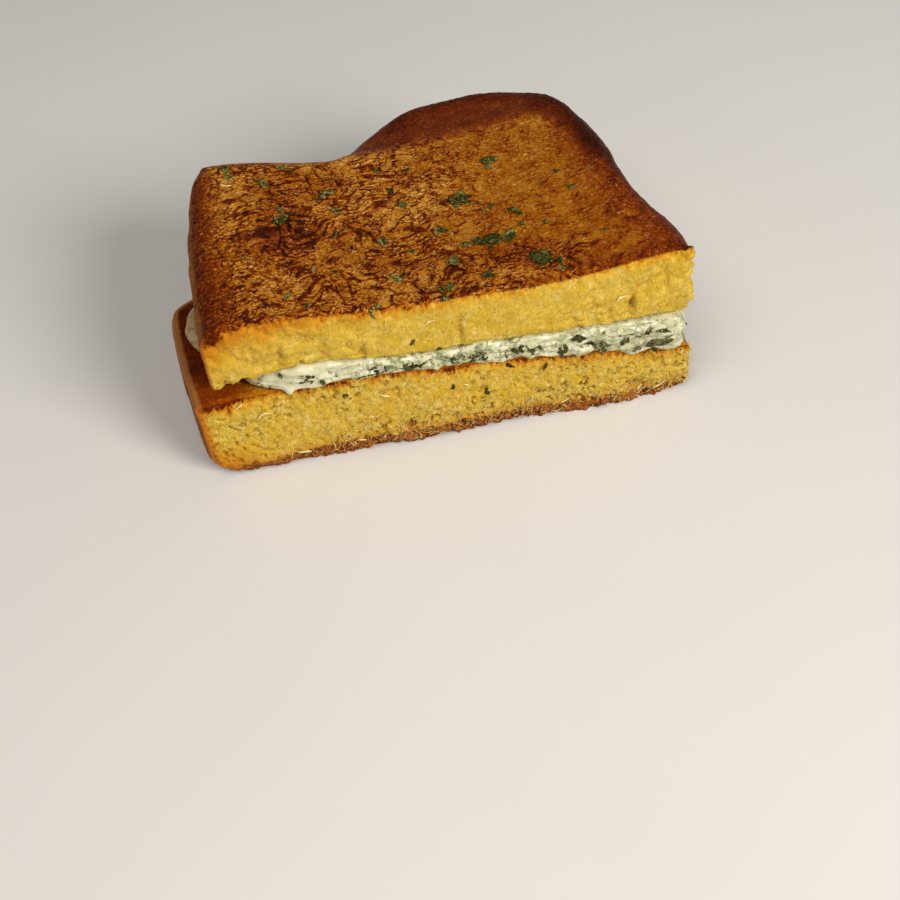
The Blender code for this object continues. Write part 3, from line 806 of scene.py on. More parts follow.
def leaf_piece(rng, size, thick=0.16, lobed=0.22):
    """A torn piece of curly leaf, thin and wavy, as points and faces around its own middle."""
    sides, rings = 16, 3
    lobes = rng.choice((2, 3, 3, 4))
    phase, phase_2 = rng.uniform(0, math.tau), rng.uniform(0, math.tau)
    long = rng.uniform(1.05, 1.75)
    curl, ruffle = rng.uniform(-0.10, 0.16), rng.uniform(0.10, 0.26)
    points = []
    for side in (1, -1):
        points.append((0, 0, side * thick / 2))
        for ring in range(1, rings + 1):
            for i in range(sides):
                angle = math.tau * i / sides
                edge = 1 + lobed * math.sin(lobes * angle + phase) + 0.10 * math.sin(7 * angle + phase_2)
                radius = size / 2 * edge * ring / rings
                x, y = radius * math.cos(angle) * long, radius * math.sin(angle) / long
                z = curl * x * x - 0.6 * curl * y * y
                z += ruffle * (ring / rings) ** 2 * math.sin((lobes + 2) * angle + phase_2)
                edge_thin = 0.45 if ring == rings else 1
                points.append((x, y, z + side * thick / 2 * edge_thin))
    count = 1 + rings * sides
    faces = []
    for i in range(sides):
        j = (i + 1) % sides
        faces += [(0, 1 + i, 1 + j), (count, count + 1 + j, count + 1 + i)]
        for ring in range(rings - 1):
            a, b = 1 + ring * sides, 1 + (ring + 1) * sides
            faces += [(a + i, b + i, b + j), (a + i, b + j, a + j)]
            under_a, under_b = count + a, count + b
            faces.append((under_b + i, under_a + i, under_a + j))
            faces.append((under_b + i, under_a + j, under_b + j))
        outer = 1 + (rings - 1) * sides
        under = count + outer
        faces += [(outer + i, under + i, under + j), (outer + i, under + j, outer + j)]
    return points, faces


def chive_ring(rng, size):
    """A short hollow slice of a chive stalk."""
    sides = 12
    wall = 0.24
    length = rng.uniform(0.5, 1.3)
    squash = rng.uniform(0.55, 1.0)
    outside, inside = size / 2, size / 2 - wall
    points = []
    for radius, end in ((outside, -1), (outside, 1), (inside, 1), (inside, -1)):
        z = end * length / 2
        for i in range(sides):
            angle = math.tau * i / sides
            points.append((radius * math.cos(angle), radius * squash * math.sin(angle), z))
    faces = []
    for k in range(4):
        a, b = k * sides, (k + 1) % 4 * sides
        for i in range(sides):
            j = (i + 1) % sides
            faces.append((a + i, a + j, b + j, b + i))
    return points, faces


def posed(points, place, normal, rng, tilt, lift):
    """Turns a small piece to lie on a surface, spun at random and tilted a little."""
    turn = Vector(normal).to_track_quat("Z", "Y").to_matrix().to_4x4()
    spin = Matrix.Rotation(rng.uniform(0, math.tau), 4, "Z")
    lean = Matrix.Rotation(rng.gauss(0, tilt), 4, "X") @ Matrix.Rotation(rng.gauss(0, tilt), 4, "Y")
    move = Matrix.Translation(Vector(place) + lift * Vector(normal))
    matrix = move @ turn @ lean @ spin
    return [matrix @ Vector(point) for point in points]


def hit_on(obj, start, direction):
    """Where a ray in layout millimetres meets a placed piece, with the normal there, or None."""
    origin = (Vector(start) - Vector(MIDDLE)) * MM
    found, place, normal, _ = obj.ray_cast(origin, Vector(direction))
    if not found:
        return None
    return place / MM + Vector(MIDDLE), normal


def value_at(obj, name, place):
    """The number that a placed piece stores near a place in layout millimetres."""
    _, _, _, face = obj.closest_point_on_mesh((Vector(place) - Vector(MIDDLE)) * MM)
    corner = obj.data.polygons[face].vertices[0]
    return obj.data.attributes[name].data[corner].value


def cream_span(x):
    """The heights between which the cream lies at x."""
    return float(height_along(CREAM_BASE, x)), float(height_along(CREAM_TOP, x))


def in_cream(x, z):
    low, high = cream_span(x)
    return low < z < high


def make_parsley(settings, upper, lower):
    rng = random.Random(settings.herb_seed)
    pile = Pile()
    for x, y, count, spread, size in HERB_CLUSTERS:
        for _ in range(count):
            spot = (x + rng.gauss(0, spread / 1.5), y + rng.gauss(0, spread / 1.5), ABOVE)
            found = hit_on(upper, spot, (0, 0, -1))
            if found:
                points, faces = leaf_piece(rng, settings.herb_size * size * rng.uniform(0.55, 1.1))
                lift = rng.uniform(0.20, 0.70 if count > 2 else 0.35)
                pile.add(posed(points, *found, rng, 0.26, lift), faces, rng.random())
    for x, z, size in LEAVES_ON_CUT:
        if in_cream(x, z):
            continue
        found = hit_on(upper if z > PARTING else lower, (x, AHEAD, z), (0, 1, 0))
        if found:
            points, faces = leaf_piece(rng, size * 0.75)
            pile.add(posed(points, *found, rng, 0.3, 0.1), faces, 0.3 * rng.random())
    return pile.build("parsley_flakes")


def make_cream_herbs(settings, cream):
    """Leaf pieces and chive rings that show all round the cream, most in the middle of the cut."""
    rng = random.Random(settings.herb_seed + 1)
    pile = Pile()
    for x, z, size in LEAVES_ON_CUT:
        found = in_cream(x, z) and hit_on(cream, (x, AHEAD, z), (0, 1, 0))
        if found:
            points, faces = leaf_piece(rng, size * 0.9, 0.2)
            pile.add(posed(points, *found, rng, 0.42, 0.42), faces, 0.2 + 0.2 * rng.random())
    edge = np.concatenate([smooth_line(CREAM_RIM), smooth_line(CREAM_CUT)[1:]])
    for i in range(settings.cream_herbs):
        if i % 5 < 3:
            x = rng.gauss(-3, 17) if rng.random() < 0.45 else rng.uniform(-38, 62)
            start, direction = (x, AHEAD), (0, 1, 0)
        else:
            k = rng.randrange(2, len(edge) - 2)
            run = edge[k + 1] - edge[k - 1]
            inward = Vector((run[1], -run[0], 0)).normalized()
            start, direction = edge[k] - 20 * np.array(inward.xy), inward
            x = edge[k][0]
        low, high = cream_span(x)
        z = low + (high - low) * rng.triangular(0.16, 0.88, 0.5)
        found = hit_on(cream, (start[0], start[1], z), direction)
        if not found:
            continue
        size = min(rng.uniform(0.7, 1.9), 0.42 * (high - low))
        if rng.random() < 0.25:
            points, faces = chive_ring(rng, min(size, 1.9))
            tilt = 0.6
        else:
            points, faces = leaf_piece(rng, size, 0.16, 0.18)
            tilt = 0.35
        pile.add(posed(points, *found, rng, tilt, rng.uniform(-0.30, 0.04)), faces, rng.random())
    return pile.build("cream_herbs")


def add_strand(pile, start, heading, bend, length, radius, shade):
    """A fine tapered fibre with three sides, bent on its way."""
    steps = 4
    place, heading = Vector(start), Vector(heading).normalized()
    points, faces = [], []
    for step in range(steps + 1):
        side = heading.orthogonal().normalized()
        width = radius * (1 - 0.8 * (step / steps) ** 2)
        for k in range(3):
            points.append(place + Matrix.Rotation(math.tau * k / 3, 3, heading) @ side * width)
        place = place + heading * (length / steps)
        heading = (heading + Vector(bend) * (length / steps)).normalized()
    for step in range(steps):
        for k in range(3):
            a, b = 3 * step + k, 3 * step + (k + 1) % 3
            faces.append((a, b, b + 3, a + 3))
    faces += [(2, 1, 0), (3 * steps, 3 * steps + 1, 3 * steps + 2)]
    pile.add(points, faces, shade)


def make_fibres(name, obj, count, heights, kinds, seed):
    """Fine crumb fibres that stand and lie on a cut face, and some at its right end."""
    rng = random.Random(seed)
    pile = Pile()
    for (start, end), (lowest, highest), share, lengths, radii, curl in kinds:
        for _ in range(round(count * share)):
            x = rng.uniform(start, end)
            low, high = heights(x)
            z = low + (high - low) * rng.uniform(lowest, highest)
            found = hit_on(obj, (x, AHEAD, z), (0, 1, 0))
            if not found or found[0].y > -33 or value_at(obj, "bare", found[0]) < 0.5:
                continue
            place, normal = found
            angle = rng.uniform(0, math.tau)
            heading = Vector((math.cos(angle), -rng.uniform(0.05, 0.7), math.sin(angle)))
            bend = [rng.gauss(0, curl) for _ in range(3)]
            length, radius = rng.uniform(*lengths), rng.uniform(*radii)
            shade = rng.uniform(0.35, 1) if share < 1 else rng.random()
            add_strand(pile, place - 0.05 * normal, heading, bend, length, radius, shade)
    for _ in range(round(count * AT_THE_END)):
        low, high = heights(62)
        z, y = rng.uniform(low, high), rng.uniform(-36.6, -35.0)
        found = hit_on(obj, (TO_RIGHT, y, z), (-1, 0, 0))
        if found:
            heading = Vector((1, rng.gauss(-0.5, 0.6), rng.gauss(0, 0.7)))
            bend = [rng.gauss(0, 0.6) for _ in range(3)]
            length, radius = rng.uniform(0.6, 1.8), rng.uniform(0.06, 0.13)
            add_strand(pile, found[0], heading, bend, length, radius, rng.uniform(0.5, 1))
    return pile.build(name)


def strip_piece(rng, length, width):
    """A thin shred of bread, tapered and curved, along X with Z up from the surface."""
    steps = 8
    curve, rise, phase = rng.gauss(0, 0.12), rng.uniform(0.05, 0.2), rng.uniform(0, math.tau)
    points, faces = [], []
    for step in range(steps + 1):
        t = 2 * step / steps - 1
        half = 0.5 * width * (0.12 + 0.88 * (1 - abs(t) ** 2.4)) * (1 + 0.3 * math.sin(5 * t + phase))
        x, y = length / 2 * t, curve * length * t * t
        z = rise * length * t * t * (0.4 + 0.6 * math.sin(2 * t + phase) ** 2)
        for across, up in ((-half, 0), (0, 0.16), (half, 0), (0, -0.12)):
            points.append((x, y + across, z + up))
    for step in range(steps):
        for k in range(4):
            a, b = 4 * step + k, 4 * step + (k + 1) % 4
            faces.append((a, b, b + 4, a + 4))
    faces += [(3, 2, 1, 0), tuple(4 * steps + k for k in range(4))]
    return points, faces


def make_shreds(upper, lower):
    rng = random.Random(SHRED_SEED)
    pile = Pile()
    for on_top, places in ((True, SHREDS_ON_TOP), (False, SHREDS_ON_CUT)):
        flat = Vector((0, 0, 1)) if on_top else Vector((0, -1, 0))
        for x, across, turn, length, width in places:
            start = (x, across, ABOVE) if on_top else (x, AHEAD, across)
            found = hit_on(upper if on_top or across > PARTING else lower, start, -flat)
            if not found:
                continue
            points, faces = strip_piece(rng, length, width)
            along = Matrix.Rotation(math.radians(turn), 3, flat) @ Vector((1, 0, 0))
            axes = Matrix((along, flat.cross(along), flat)).transposed()
            middle = found[0] + 0.3 * flat
            pile.add([middle + axes @ Vector(point) for point in points], faces, rng.uniform(0.75, 1))
    return pile.build("bread_shreds")


class Number:
    """A number socket of a material, so that plain maths on it adds Math nodes."""

    def __init__(self, recipe, socket):
        self.recipe, self.socket = recipe, socket

    def _maths(self, operation, *values):
        node = self.recipe.add("ShaderNodeMath", {"operation": operation}, dict(enumerate(values)))
        return Number(self.recipe, node.outputs[0])

    def __add__(self, other):
        return self._maths("ADD", self, other)

    def __sub__(self, other):
        return self._maths("SUBTRACT", self, other)

    def __rsub__(self, other):
        return self._maths("SUBTRACT", other, self)

    def __mul__(self, other):
        return self._maths("MULTIPLY", self, other)

    __radd__, __rmul__ = __add__, __mul__

    def step(self, low, high):
        """Rises smoothly from 0 to 1 between low and high."""
        links = {"Value": self, "From Min": low, "From Max": high}
        node = self.recipe.add("ShaderNodeMapRange", {"interpolation_type": "SMOOTHSTEP"}, links)
        return Number(self.recipe, node.outputs["Result"])

    def fall(self, low, high):
        return 1.0 - self.step(low, high)


class Recipe:
    """A new material with a Principled shader, and short ways to add what feeds it."""

    def __init__(self, name, **fixed):
        self.material = bpy.data.materials.new(name)
        self.material.use_nodes = True
        self.nodes = self.material.node_tree.nodes
        self.shader = self.nodes["Principled BSDF"]
        for socket, value in fixed.items():
            self.shader.inputs[socket.replace("_", " ")].default_value = value
        self.mm = self.scaled(self.add("ShaderNodeTexCoord").outputs["Object"], (1 / MM,) * 3)

    def add(self, kind, settings=None, links=None):
        node = self.nodes.new(kind)
        for name, value in (settings or {}).items():
            setattr(node, name, value)
        for name, value in (links or {}).items():
            self.feed(node.inputs[name], value)
        return node

    def feed(self, socket, value):
        value = value.socket if isinstance(value, Number) else value
        if isinstance(value, bpy.types.NodeSocket):
            self.material.node_tree.links.new(value, socket)
        elif socket.type == "RGBA" and len(value) == 3:
            socket.default_value = (*value, 1)
        else:
            socket.default_value = value

    def vectors(self, operation, *values):
        links = dict(enumerate(values))
        return self.add("ShaderNodeVectorMath", {"operation": operation}, links).outputs[0]

    def scaled(self, vector, factors):
        return self.vectors("MULTIPLY", vector, factors)

    def value(self, name):
        node = self.add("ShaderNodeAttribute", {"attribute_name": name})
        return Number(self, node.outputs["Fac"])

    def clouds(self, pitch, detail=3.0, rough=0.55, vector=None):
        links = {"Vector": vector or self.mm, "Scale": 1 / pitch, "Detail": detail, "Roughness": rough}
        return Number(self, self.add("ShaderNodeTexNoise", {}, links).outputs[0])

    def walls(self, pitch, vector=None):
        """Distance to the walls between cells."""
        links = {"Vector": vector or self.mm, "Scale": 1 / pitch}
        node = self.add("ShaderNodeTexVoronoi", {"feature": "DISTANCE_TO_EDGE"}, links)
        return Number(self, node.outputs["Distance"])

    def bent(self, pitch, amount, stretch=(1, 1, 1)):
        """The place in millimetres, pushed about by clouds of the given pitch."""
        links = {"Vector": self.mm, "Scale": 1 / pitch, "Detail": 2.0}
        cloud = self.add("ShaderNodeTexNoise", {}, links).outputs["Color"]
        centred = self.vectors("ADD", cloud, (-0.5, -0.5, -0.5))
        return self.scaled(self.vectors("MULTIPLY_ADD", centred, (amount * 2,) * 3, self.mm), stretch)

    def mix(self, factor, first, second):
        node = self.add("ShaderNodeMix", {"data_type": "RGBA"}, {0: factor})
        for socket, colour in zip((s for s in node.inputs if s.type == "RGBA"), (first, second)):
            self.feed(socket, colour)
        return next(s for s in node.outputs if s.type == "RGBA")

    def layered(self, colour, *coats):
        """Lays coats over a colour, each with where it lies and its own colour."""
        for where, coat in coats:
            colour = self.mix(where, colour, coat)
        return colour

    def ramp(self, factor, stops):
        node = self.add("ShaderNodeValToRGB", {}, {"Fac": factor})
        while len(node.color_ramp.elements) < len(stops):
            node.color_ramp.elements.new(0.5)
        for element, (at, colour) in zip(node.color_ramp.elements, stops):
            element.position, element.color = at, (*colour, 1)
        return node.outputs["Color"]

    def paint(self, colour, rough):
        self.feed(self.shader.inputs["Base Color"], colour)
        self.feed(self.shader.inputs["Roughness"], rough)

    def bumps(self, *layers):
        """Stacks bumps, each with a height and a depth in millimetres."""
        normal = None
        for height, depth in layers:
            links = {"Height": height, "Distance": depth * MM, "Strength": 1.0}
            if normal:
                links["Normal"] = normal
            normal = self.add("ShaderNodeBump", {}, links).outputs["Normal"]
        self.feed(self.shader.inputs["Normal"], normal)


def bread_material(name, settings, fried_foot):
    """Fried skin above, soft crumb on the cut, crust round the side. Values on the mesh say where."""
    recipe = Recipe(
        name, Subsurface_Weight=0.08, Subsurface_Radius=(1.0, 0.5, 0.2), Subsurface_Scale=0.001,
        Specular_IOR_Level=0.08, Specular_Tint=(1.0, 0.58, 0.20, 1.0), Coat_Roughness=0.12,
        Coat_IOR=1.35, Coat_Tint=(1.0, 0.85, 0.6, 1.0),
    )
    under_top, over_base = recipe.value("under_top"), recipe.value("over_base")
    from_cut, from_crust = recipe.value("from_cut"), recipe.value("from_crust")
    brown, skin, pore, fried = (recipe.value(v) for v in ("brown", "skin", "pore", "fried"))
    wrap = recipe.value("wrap")
    rag = recipe.clouds(2.6, 4.0)
    fine = recipe.clouds(0.55, 3.0, 0.6)

    bent = recipe.bent(3.2, 1.3, (0.55, 1.0, 0.8))
    threads = recipe.walls(1.05, bent).fall(0.0, 0.14)
    patches = recipe.clouds(3.2, 2.0).step(0.42, 0.60)
    strokes = threads * patches * fried
    hair = recipe.bent(1.5, 0.9, (0.45, 1.0, 0.8))
    hairs = recipe.walls(0.62, hair).fall(0.0, 0.22)
    # Painted highlights: small pale glints mixed into the fried skin's colour, most where it is
    # crinkled.
    glints = recipe.clouds(0.50, 3.0, 0.7, hair).step(0.57, 0.66) * (0.05 + 0.95 * fried)
    glints = glints * (0.30 + recipe.clouds(5.5, 2.0).step(0.38, 0.58) * 0.80)
    rough_skin = recipe.value("rough")
    specks = (recipe.clouds(0.9, 3.0, 0.65) - 0.5) * (0.50 + 0.10 * (1.0 - fried))
    specks = specks + (recipe.clouds(0.9, 3.0, 0.7) - 0.5) * rough_skin * 1.4

    level = brown + skin.step(0.08, 0.6) * 0.56 + strokes * 0.40 + specks + (rag - 0.5) * 0.34
    downy = recipe.clouds(4.0, 2.0).step(0.35, 0.65) * (0.10 + 0.24 * fried)
    level = level + (hairs - 0.4) * downy - 0.03
    top_colour = recipe.ramp(
        level,
        ((0.02, settings.pale_gold), (0.22, settings.golden), (0.43, settings.amber),
         (0.63, settings.brown), (0.83, settings.dark_brown), (1.0, settings.char)),
    )
    # Lays the painted glints over the skin's colour, on its lighter parts.
    top_colour = recipe.mix(glints * 0.75 * level.fall(0.45, 0.8), top_colour, settings.painted_glint)

    grain = recipe.clouds(1.3, 4.0, 0.65)
    wool = recipe.clouds(0.55, 3.0, 0.6, recipe.bent(1.6, 1.3, (1.7, 1.0, 0.7)))
    pulled = recipe.clouds(1.9, 3.0, 0.6, recipe.scaled(recipe.mm, (1.0, 1.0, 0.45)))
    glow = recipe.clouds(5.5, 2.0).step(0.42, 0.66)
    coats = [
        (pulled.step(0.54, 0.72) * 0.5, settings.fibre_pale),
        (pulled.fall(0.30, 0.46) * 0.6, settings.crumb_warm),
        (glow * (0.9 if fried_foot else 0.6), settings.crumb_warm),
        (wool.step(0.54, 0.70) * (0.9 if fried_foot else 0.5), settings.fibre_pale),
        # Painted shade: darker where the fibre texture dips, and in the pores, creases and slits.
        (wool.fall(0.32, 0.46) * 0.35, settings.painted_pore_shade),
        (pore.step(0.2, 0.75) * 0.9, settings.painted_pore_shade),
    ]
    if fried_foot:
        coats.insert(2, (recipe.clouds(4.5, 3.0, 0.6).step(0.52, 0.72) * 0.30, settings.orange))
        coats.append((recipe.clouds(7.0, 2.0).step(0.50, 0.66) * 0.30, settings.crumb_deep))
    streaks = (recipe.clouds(1.1, 3.0, 0.6, recipe.scaled(recipe.mm, (1.0, 1.0, 0.3))) - 0.5) * 6.5
    down = under_top - wrap + (rag - 0.5) * 6.5 + (fine - 0.5) * 2.4 + streaks
    soaked = down * recipe.value("soak")
    seared_colour = recipe.ramp(
        level + 0.1, ((0.25, settings.amber), (0.5, settings.brown), (0.9, settings.dark_brown))
    )
    warm = recipe.value("warm") + (fine - 0.5) * 0.5 * recipe.value("warm").step(0.0, 0.2)
    crumb_colour = recipe.layered(
        recipe.mix(grain.step(0.35, 0.68), settings.crumb_deep, settings.crumb),
        *coats,
        (soaked.fall(0.1, 1.7) * 0.7, settings.fringe),
        (soaked.fall(-0.1, 0.9) * 0.9, settings.orange),
        (down.fall(-1.2, 0.6), seared_colour),
        (warm.step(0.1, 0.7) * 0.85, settings.orange),
        (warm.step(0.55, 1.1) * 0.8, settings.crust),
    )

    side_level = (recipe.clouds(5.0, 4.0) - 0.5) * 0.8 + (fine - 0.5) * 0.3 + 0.42
    side_level = side_level + under_top.fall(0.0, 6.0) * 0.25 + (0.14 if fried_foot else 0.0)
    side_level = side_level + over_base.fall(0.0, 5.0) * 0.25
    wrinkles = recipe.clouds(1.6, 5.0, 0.68, recipe.bent(4.0, 1.5, (1.0, 1.0, 0.6)))
    side_level = side_level + (wrinkles - 0.5) * 0.9 + (recipe.clouds(0.5, 2.0) - 0.5) * 0.4
    whole = 1.0 - recipe.value("torn_end") * 0.9
    crust_stops = ((0.5, settings.crust), (0.9, settings.dark_brown))
    side_colour = recipe.ramp(side_level, ((0.15, settings.crust_pale), *crust_stops))

    on_side = (from_crust + rag - 0.5).fall(0.5, 1.6) * under_top.step(1.5, 4.0) * whole
    strands = recipe.clouds(0.8, 3.0, 0.6, recipe.scaled(recipe.mm, (1.0, 0.3, 1.0)))
    on_cut = (from_cut + (rag - 0.5) * 5.0 + (strands - 0.5) * 7.5).fall(0.5, 2.1)
    on_cut = on_cut * from_crust.step(0.2, 1.2)
    on_top = under_top.fall(0.6, 2.4)

    near_crust = (from_crust + (rag - 0.5) * 1.2).fall(1.2, 2.6) * whole
    coats = [
        (near_crust, settings.crust_pale if fried_foot else side_colour),
        (on_top, top_colour),
        (on_side, side_colour),
        (on_cut * under_top.step(0.1, 1.0), crumb_colour),
    ]
    if fried_foot:
        coats.insert(2, (near_crust * under_top.fall(3.0, 5.0), settings.crust_pale))
        up = over_base + (rag - 0.5) * 5.0 + (fine - 0.5) * 2.4
        foot_level = level - 0.10 + (fine - 0.5) * 1.8 + (grain - 0.5) * 0.8
        foot_colour = recipe.ramp(foot_level, ((0.2, settings.crust_pale), *crust_stops))
        coats.append((up.fall(2.2, 6.5) * 0.6, settings.orange))
        coats.append((up.fall(2.4, 3.9), foot_colour))

    gloss = on_top * (1.0 - on_cut)
    rough = 0.80 - gloss * 0.42 + (fine - 0.5) * 0.3
    recipe.paint(recipe.layered(crumb_colour, *coats), rough)
    recipe.feed(recipe.shader.inputs["Coat Weight"], gloss * (0.01 + 0.20 * fried))
    recipe.bumps(
        (recipe.clouds(0.8, 4.0, 0.6), 0.16), (fine, 0.10), (strokes * gloss, 0.16),
        (hairs * gloss, 0.08), (skin * gloss, 0.20), (recipe.clouds(0.25, 2.0), 0.04),
        (wrinkles * on_side, 0.35),
    )
    return recipe.material


def cream_material(settings):
    recipe = Recipe(
        "herb_cream", Subsurface_Weight=0.35, Subsurface_Radius=(1.0, 0.9, 0.6), Subsurface_Scale=0.002,
        Specular_IOR_Level=0.5,
    )
    herby, buttery = recipe.value("herby"), recipe.value("buttery")
    # Where herbs show, the cream is tinted, veiled and darker; towards the right this is partly painted
    # shade.
    deep = recipe.clouds(1.3, 3.0, 0.6, recipe.bent(3.0, 1.4)).step(0.50, 0.66) * (0.10 + 0.78 * herby)
    leaf_shadow = recipe.walls(1.5, recipe.bent(2.4, 1.2, (0.6, 1.0, 1.0))).fall(0.0, 0.2)
    veil = leaf_shadow * recipe.clouds(2.6, 2.0).step(0.42, 0.58) * (0.10 + 0.75 * herby)
    tinted = recipe.clouds(3.2, 2.0).step(0.38, 0.60) * (0.60 + 0.40 * herby)
    colour = recipe.layered(
        settings.cream, (tinted, settings.cream_green), (deep, settings.herb_veil),
        # Painted shade on the cream's left end, mixed towards the pale crust's colour.
        (veil, settings.herb_veil), (buttery * 0.55, settings.crust_pale),
    )
    recipe.paint(colour, 0.10 + recipe.clouds(1.6, 3.0) * 0.2)
    recipe.bumps((recipe.clouds(1.6, 3.0), 0.30), (recipe.clouds(0.6, 2.0), 0.08))
    return recipe.material


def leaf_material(name, settings, wet):
    recipe = Recipe(
        name, Subsurface_Weight=0.08, Subsurface_Radius=(0.3, 0.6, 0.1), Subsurface_Scale=0.0008,
        Specular_IOR_Level=0.5 if wet else 0.12, Specular_Tint=(1.0, 0.9, 0.5, 1.0),
    )
    shade = recipe.value("shade")
    # The ramp's lightest end is partly paler leaf and partly painted highlight on the flakes.
    level = shade * 0.5 + (recipe.clouds(0.45, 3.0, 0.65) - 0.5) * 2.4 + (0.10 if wet else 0.24)
    colour = recipe.ramp(
        level, ((0.15, settings.herb_dark), (0.55, settings.herb), (0.95, settings.herb_light_and_highlight))
    )
    if wet:
        covered = (recipe.clouds(1.1, 3.0) + shade * 0.5).step(0.72, 0.90)
        colour = recipe.mix(covered * 0.75, colour, settings.cream_green)
    least, spread = (0.30, 0.25) if wet else (0.42, 0.30)
    recipe.paint(colour, least + recipe.clouds(0.7) * spread)
    recipe.bumps((recipe.clouds(0.35, 3.0), 0.08))
    return recipe.material


def fibre_material(name, settings):
    recipe = Recipe(name, Subsurface_Weight=0.0, Specular_IOR_Level=0.5)
    shade = recipe.value("shade")
    colour = recipe.ramp(
        shade, ((0.0, settings.crumb_warm), (0.45, settings.crumb), (1.0, settings.fibre_pale))
    )
    recipe.paint(colour, 0.5 + recipe.clouds(0.5) * 0.2)
    return recipe.material


def floor_material(settings):
    recipe = Recipe("pale_floor", Specular_IOR_Level=0.3)
    tone = recipe.clouds(90.0, 2.0).step(0.3, 0.7) * 0.25
    recipe.paint(recipe.mix(tone, settings.floor, settings.floor_shade), FLOOR_ROUGHNESS)
    return recipe.material


def area_light(name, place, size, power, colour):
    data = bpy.data.lights.new(name, "AREA")
    data.shape, data.size, data.energy, data.color = "DISK", size, power, colour
    light = bpy.data.objects.new(name, data)
    light.location = place
    light.rotation_euler = (Vector(LIGHT_AIM) - Vector(place)).to_track_quat("-Z", "Y").to_euler()
    bpy.context.scene.collection.objects.link(light)


def colour_prop(name, description, default):
    return FloatVectorProperty(
        name=name, description=description, subtype="COLOR", size=3, min=0, max=1, default=default
    )


def cell_prop(piece, default, least):
    return FloatProperty(
        name=f"{piece} cell", description=f"Mesh cell of the {piece.lower()} before it is split, in mm",
        default=default, min=least,
    )


def count_prop(name, description, default):
    return IntProperty(name=name, description=description, default=default, min=0)


class ToastSizes(bpy.types.PropertyGroup):
    upper_cell: cell_prop("Upper slice", 1.5, 0.8)
    lower_cell: cell_prop("Lower slice", 1.0, 0.6)
    cream_cell: cell_prop("Cream", 0.9, 0.6)
    cream_herbs: count_prop("Cream herbs", "Leaf pieces and chive rings that show in the cream", 220)
    upper_fibres: count_prop("Upper fibres", "Fine fibres on the upper slice's cut face", 1000)
    lower_fibres: count_prop("Lower fibres", "Fine fibres on the lower slice's cut face", 2600)
    herb_size: FloatProperty(
        name="Herb size", description="Size of the flakes on top as a share of their usual length",
        default=0.82, min=0.2, max=1.5,
    )
    herb_seed: count_prop("Herb seed", "Start of the herbs' random draws", 4)


class ToastColours(bpy.types.PropertyGroup):
    pale_gold: colour_prop("Pale gold skin", "Lightest fried skin", (0.62, 0.31, 0.055))
    golden: colour_prop("Golden skin", "Light fried skin", (0.385, 0.142, 0.004))
    amber: colour_prop("Amber skin", "Medium fried skin", (0.25, 0.045, 0.001))
    brown: colour_prop("Brown skin", "Well fried skin", (0.140, 0.018, 0.0010))
    dark_brown: colour_prop("Dark skin", "Dark fried skin and rims", (0.072, 0.0075, 0.001))
    char: colour_prop("Charred skin", "Darkest fried skin", (0.028, 0.005, 0.0015))
    # The colour of the painted glints: small painted highlights on the fried skin.
    painted_glint: colour_prop("Painted highlights", "Small painted highlights on the fried skin", (0.78, 0.48, 0.20))
    orange: colour_prop("Orange fringe", "Where the crumb turns to fried skin", (0.47, 0.145, 0.005))
    fringe: colour_prop("Yellow fringe", "Crumb that frying has warmed", (0.62, 0.33, 0.02))
    crumb: colour_prop("Crumb", "Light crumb", (0.63, 0.435, 0.070))
    crumb_deep: colour_prop("Deep crumb", "Darker crumb between the fibres", (0.51, 0.325, 0.032))
    crumb_warm: colour_prop("Warm crumb", "Buttery parts of the crumb", (0.56, 0.345, 0.018))
    # The colour of the painted shade in the pores and between the fibres of the crumb.
    painted_pore_shade: colour_prop("Pores", "The bottoms of the pores", (0.21, 0.072, 0.002))
    fibre_pale: colour_prop("Pale fibres", "The palest fibres of the crumb", (0.80, 0.66, 0.25))
    crust_pale: colour_prop("Pale crust", "Light parts of the side crust", (0.36, 0.135, 0.034))
    crust: colour_prop("Crust", "The side crust", (0.29, 0.095, 0.022))
    cream: colour_prop("Cream", "The herb cream", (0.68, 0.64, 0.435))
    cream_green: colour_prop("Green cream", "Cream that herbs have coloured", (0.50, 0.485, 0.27))
    herb_veil: colour_prop("Veiled herbs", "Herbs that show through the cream", (0.15, 0.165, 0.075))
    herb: colour_prop("Herb", "Chopped leaves", (0.060, 0.060, 0.006))
    herb_dark: colour_prop("Dark herb", "The darkest leaves", (0.009, 0.010, 0.001))
    # The colour of the lightest leaves, and of the painted highlights on the flakes.
    herb_light_and_highlight: colour_prop("Light herb", "The lightest leaves", (0.33, 0.29, 0.11))
    floor: colour_prop("Floor", "The plain floor", (0.73, 0.705, 0.67))
    floor_shade: colour_prop("Floor shade", "Slightly darker parts of the floor", (0.69, 0.665, 0.63))


